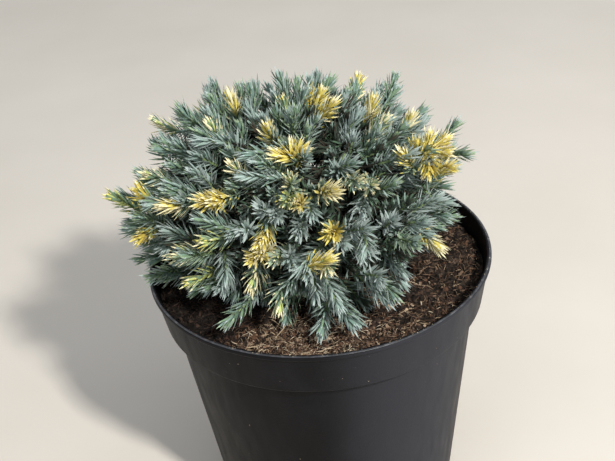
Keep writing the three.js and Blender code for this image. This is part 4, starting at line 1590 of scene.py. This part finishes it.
def turned_at_random(count, rng):
    """A rotation matrix at random for each of so many lumps."""
    q = unit(rng.normal(size=(count, 4)))
    w, x, y, z = q.T
    rows = [
        [1 - 2 * (y * y + z * z), 2 * (x * y - w * z), 2 * (x * z + w * y)],
        [2 * (x * y + w * z), 1 - 2 * (x * x + z * z), 2 * (y * z - w * x)],
        [2 * (x * z - w * y), 2 * (y * z + w * x), 1 - 2 * (x * x + y * y)],
    ]
    return np.moveaxis(np.array(rows), -1, 0)


def icosahedron():
    """Twenty faces, with corners about 1 from the middle."""
    golden = (1 + math.sqrt(5)) / 2
    points = []
    for a in (-1, 1):
        for b in (-golden, golden):
            points += [(0, a, b), (a, b, 0), (b, 0, a)]
    points = np.array(points, float)
    longest_edge = 2.01
    faces = []
    for i, j, k in itertools.combinations(range(len(points)), 3):
        sides = [np.linalg.norm(points[p] - points[q]) for p, q in ((i, j), (j, k), (k, i))]
        if max(sides) < longest_edge:
            normal = np.cross(points[j] - points[i], points[k] - points[i])
            faces.append((i, j, k) if normal @ points[i] > 0 else (i, k, j))
    reach = 1.18
    return points / golden / reach, np.array(faces)


def octahedron():
    points = np.array([[1, 0, 0], [-1, 0, 0], [0, 1, 0], [0, -1, 0], [0, 0, 1], [0, 0, -1]], float)
    faces = np.array([
        [0, 2, 4], [2, 1, 4], [1, 3, 4], [3, 0, 4], [2, 0, 5], [1, 2, 5], [3, 1, 5], [0, 3, 5],
    ])
    return points, faces


def box_shape():
    points = np.array([[x, y, z] for x in (-1, 1) for y in (-1, 1) for z in (-1, 1)], float)
    faces = np.array([
        [0, 1, 3], [0, 3, 2], [4, 6, 7], [4, 7, 5], [0, 4, 5], [0, 5, 1],
        [2, 3, 7], [2, 7, 6], [0, 2, 6], [0, 6, 4], [1, 5, 7], [1, 7, 3],
    ])
    return points, faces


def make_bits(name, shape, places, sizes, ragged, materials, rng):
    """Many small lumps of one shape in one mesh, each turned and dented at random."""
    corners, pattern = shape
    count = len(places)
    points = corners[None] * (1 + rng.uniform(-ragged, ragged, (count, len(corners), 3)))
    points = np.einsum("nij,nkj->nki", turned_at_random(count, rng), points * sizes[:, None])
    points = points + places[:, None]
    faces = repeated(pattern, len(corners), count)
    worn = np.repeat(colours_by_dryness(places, len(materials), rng), len(pattern))
    return mesh_object(name, points.reshape(-1, 3), faces, materials, worn, smooth=False)


def make_fibres(name, places, lengths, radii, lift, materials, rng):
    """Curved threads lying on the compost, each a thin three-sided tube, joined."""
    steps = len(FIBRE_TAPER)
    count = len(places)
    heading = rng.uniform(0, 2 * np.pi, count)
    curl = rng.normal(0, FIBRE_CURL, count)
    length = rng.uniform(*lengths, count)
    share = np.linspace(-0.5, 0.5, steps)
    turn = heading[:, None] + curl[:, None] * share
    step = (length / (steps - 1))[:, None]
    half = length[:, None] / 2
    x = places[:, :1] + np.cumsum(np.cos(turn) * step, axis=1) - np.cos(heading)[:, None] * half
    y = places[:, 1:2] + np.cumsum(np.sin(turn) * step, axis=1) - np.sin(heading)[:, None] * half
    inside = np.max(np.hypot(x, y), axis=1) < compost_edge() - EDGE_MARGIN
    x, y, length, places = x[inside], y[inside], length[inside], places[inside]
    count = len(x)
    arch = (1 - (2 * share) ** 2)[None] * rng.uniform(*lift, count)[:, None]
    slope = share[None] * rng.normal(0, FIBRE_TILT, count)[:, None] * length[:, None]
    ground = soil_height(x, y)
    level = FIBRE_LEVEL * ground.mean(axis=1, keepdims=True) + (1 - FIBRE_LEVEL) * ground
    z = level + FIBRE_LIFT + arch + np.abs(slope)
    centres = np.stack([x, y, z], -1)
    thickness = rng.uniform(*radii, count)
    parts = [tube(line, thick * FIBRE_TAPER, FIBRE_SIDES) for line, thick in zip(centres, thickness)]
    points, faces = joined(parts)
    worn = np.repeat(colours_by_dryness(places, len(materials), rng), len(parts[0][1]))
    return mesh_object(name, points, faces, materials, worn)


def make_straws_seen(materials, rng):
    """The straws that lie where the photograph shows them."""
    parts = []
    for pixels in STRAWS_SEEN.values():
        start, stop = (compost_point(pixel) for pixel in pixels)
        middle = (start + stop) / 2 + rng.normal(0, STRAW_BEND, 3) * np.linalg.norm(stop - start)
        line, _ = quadratic(np.stack([start, middle, stop]), np.linspace(0, 1, len(STRAW_TAPER)))
        line[:, 2] = np.maximum(line[:, 2], soil_height(line[:, 0], line[:, 1]) + STRAW_CLEARANCE)
        parts.append(tube(line, rng.uniform(*STRAW_RADII) * STRAW_TAPER, STRAW_SIDES))
    points, faces = joined(parts)
    worn = np.repeat(rng.integers(0, len(materials), len(parts)), len(parts[0][1]))
    return mesh_object("compost_straws_seen", points, faces, materials, worn)


def lump_sizes(count, sizes, sides, rng):
    """Three half widths for each lump."""
    return rng.uniform(*sizes, (count, 1)) * rng.uniform(*sides, (count, 3))


def make_specks(materials, rng):
    """Crumbs of dirt that cling to the lip and to the outside of the pot."""
    lip_radius = rng.uniform(INNER_LIP_RADIUS, RIM_RADIUS - LIP_ROUND, LIP_SPECKS)
    rings = [(lip_radius, np.full(LIP_SPECKS, POT_HEIGHT))]
    bands = ((COLLAR_SPECKS, collar_radius), (WALL_SPECKS, pot_wall_radius))
    for (count, low, high), radius_at in bands:
        height = rng.uniform(low, high, count)
        rings.append((radius_at(height), height))
    radius, height = (np.concatenate(part) for part in zip(*rings))
    places = around(radius, rng.uniform(0, 2 * np.pi, len(radius)), height)
    size = lump_sizes(len(places), SPECK_SIZES, SPECK_SIDES, rng)
    return make_bits("compost_specks", octahedron(), places, size, SPECK_DENTS, materials, rng)


def make_litter():
    """What the compost is made of: clods, crumbs, chips of bark, peat fibres and a few longer straws."""
    rng = np.random.default_rng(LITTER_SEED)
    dark, pale = earth_materials(DARK_EARTH), earth_materials(PALE_EARTH)
    lumps = {
        "clods": (icosahedron(), scattered, dark[:4]),
        "crumbs": (octahedron(), scattered, dark[:3] + dark),
        "dry_crumbs": (octahedron(), in_dry_patch, dark[2:] + pale[:2]),
    }
    for name, (shape, placed, finishes) in lumps.items():
        count, lift, sizes, sides, dents = LUMPS[name]
        places = placed(count, rng) + [0, 0, lift]
        size = lump_sizes(len(places), sizes, sides, rng)
        dress(make_bits(f"compost_{name}", shape, places, size, dents, finishes, rng), "compost")
    chips = scattered(CHIPS, rng) + [0, 0, CHIP_LIFT]
    size = np.stack([rng.uniform(*span, CHIPS) for span in CHIP_SIZES], -1)
    finishes = dark[2:] + pale[:3]
    dress(make_bits("compost_chips", box_shape(), chips, size, CHIP_DENTS, finishes, rng), "compost")
    threads = {
        "fibres": (scattered, dark[2:] + pale[:3]),
        "dry_fibres": (in_dry_patch, dark[3:] + pale),
        "straws": (scattered, pale[2:]),
    }
    # All the places are drawn before the first thread is made.
    places = {name: placed(THREADS[name][0], rng) for name, (placed, _) in threads.items()}
    for name, (_, finishes) in threads.items():
        _, *shape = THREADS[name]
        dress(make_fibres(f"compost_{name}", places[name], *shape, finishes, rng), "compost")
    dress(make_straws_seen(pale[1:], rng), "compost")
    dress(make_specks(dark[3:] + pale, rng), "compost")


# Floor and light

def make_floor():
    corners = [[x * FLOOR_REACH, y * FLOOR_REACH, 0] for x, y in ((-1, -1), (1, -1), (1, 1), (-1, 1))]
    mesh_object("floor", corners, [[0, 1, 2, 3]], [noise_finish("pale_floor")])


def make_lights():
    for name, (place, size, power, colour) in LIGHTS.items():
        data = bpy.data.lights.new(name, "AREA")
        data.size = size
        data.energy = power
        data.color = colour
        back = unit(np.array(place) - np.array(LIGHT_TARGET))
        stood(name, data, level_side(back), back, place)


def make_world():
    world = bpy.data.worlds.new("studio")
    world.use_nodes = True
    background = world.node_tree.nodes["Background"]
    background.inputs["Color"].default_value = WORLD_COLOUR
    background.inputs["Strength"].default_value = WORLD_STRENGTH
    bpy.context.scene.world = world
    bpy.context.scene.view_settings.view_transform = "Standard"


def main():
    masses = mass_list()
    shoots = grow_shoots(masses)
    make_pot([pot_plastic(), noise_finish("rubbed_pot_plastic")])
    make_compost([noise_finish("dark_compost_and_painted_shade"), noise_finish("moist_compost")])
    make_litter()
    bark = noise_finish("juniper_bark")
    make_stem(bark)
    make_boughs(masses, bark)
    make_twigs(masses, shoots, twig_materials())
    make_needles(masses, shoots, needle_materials())
    make_floor()
    make_lights()
    make_world()
    make_camera()


main()
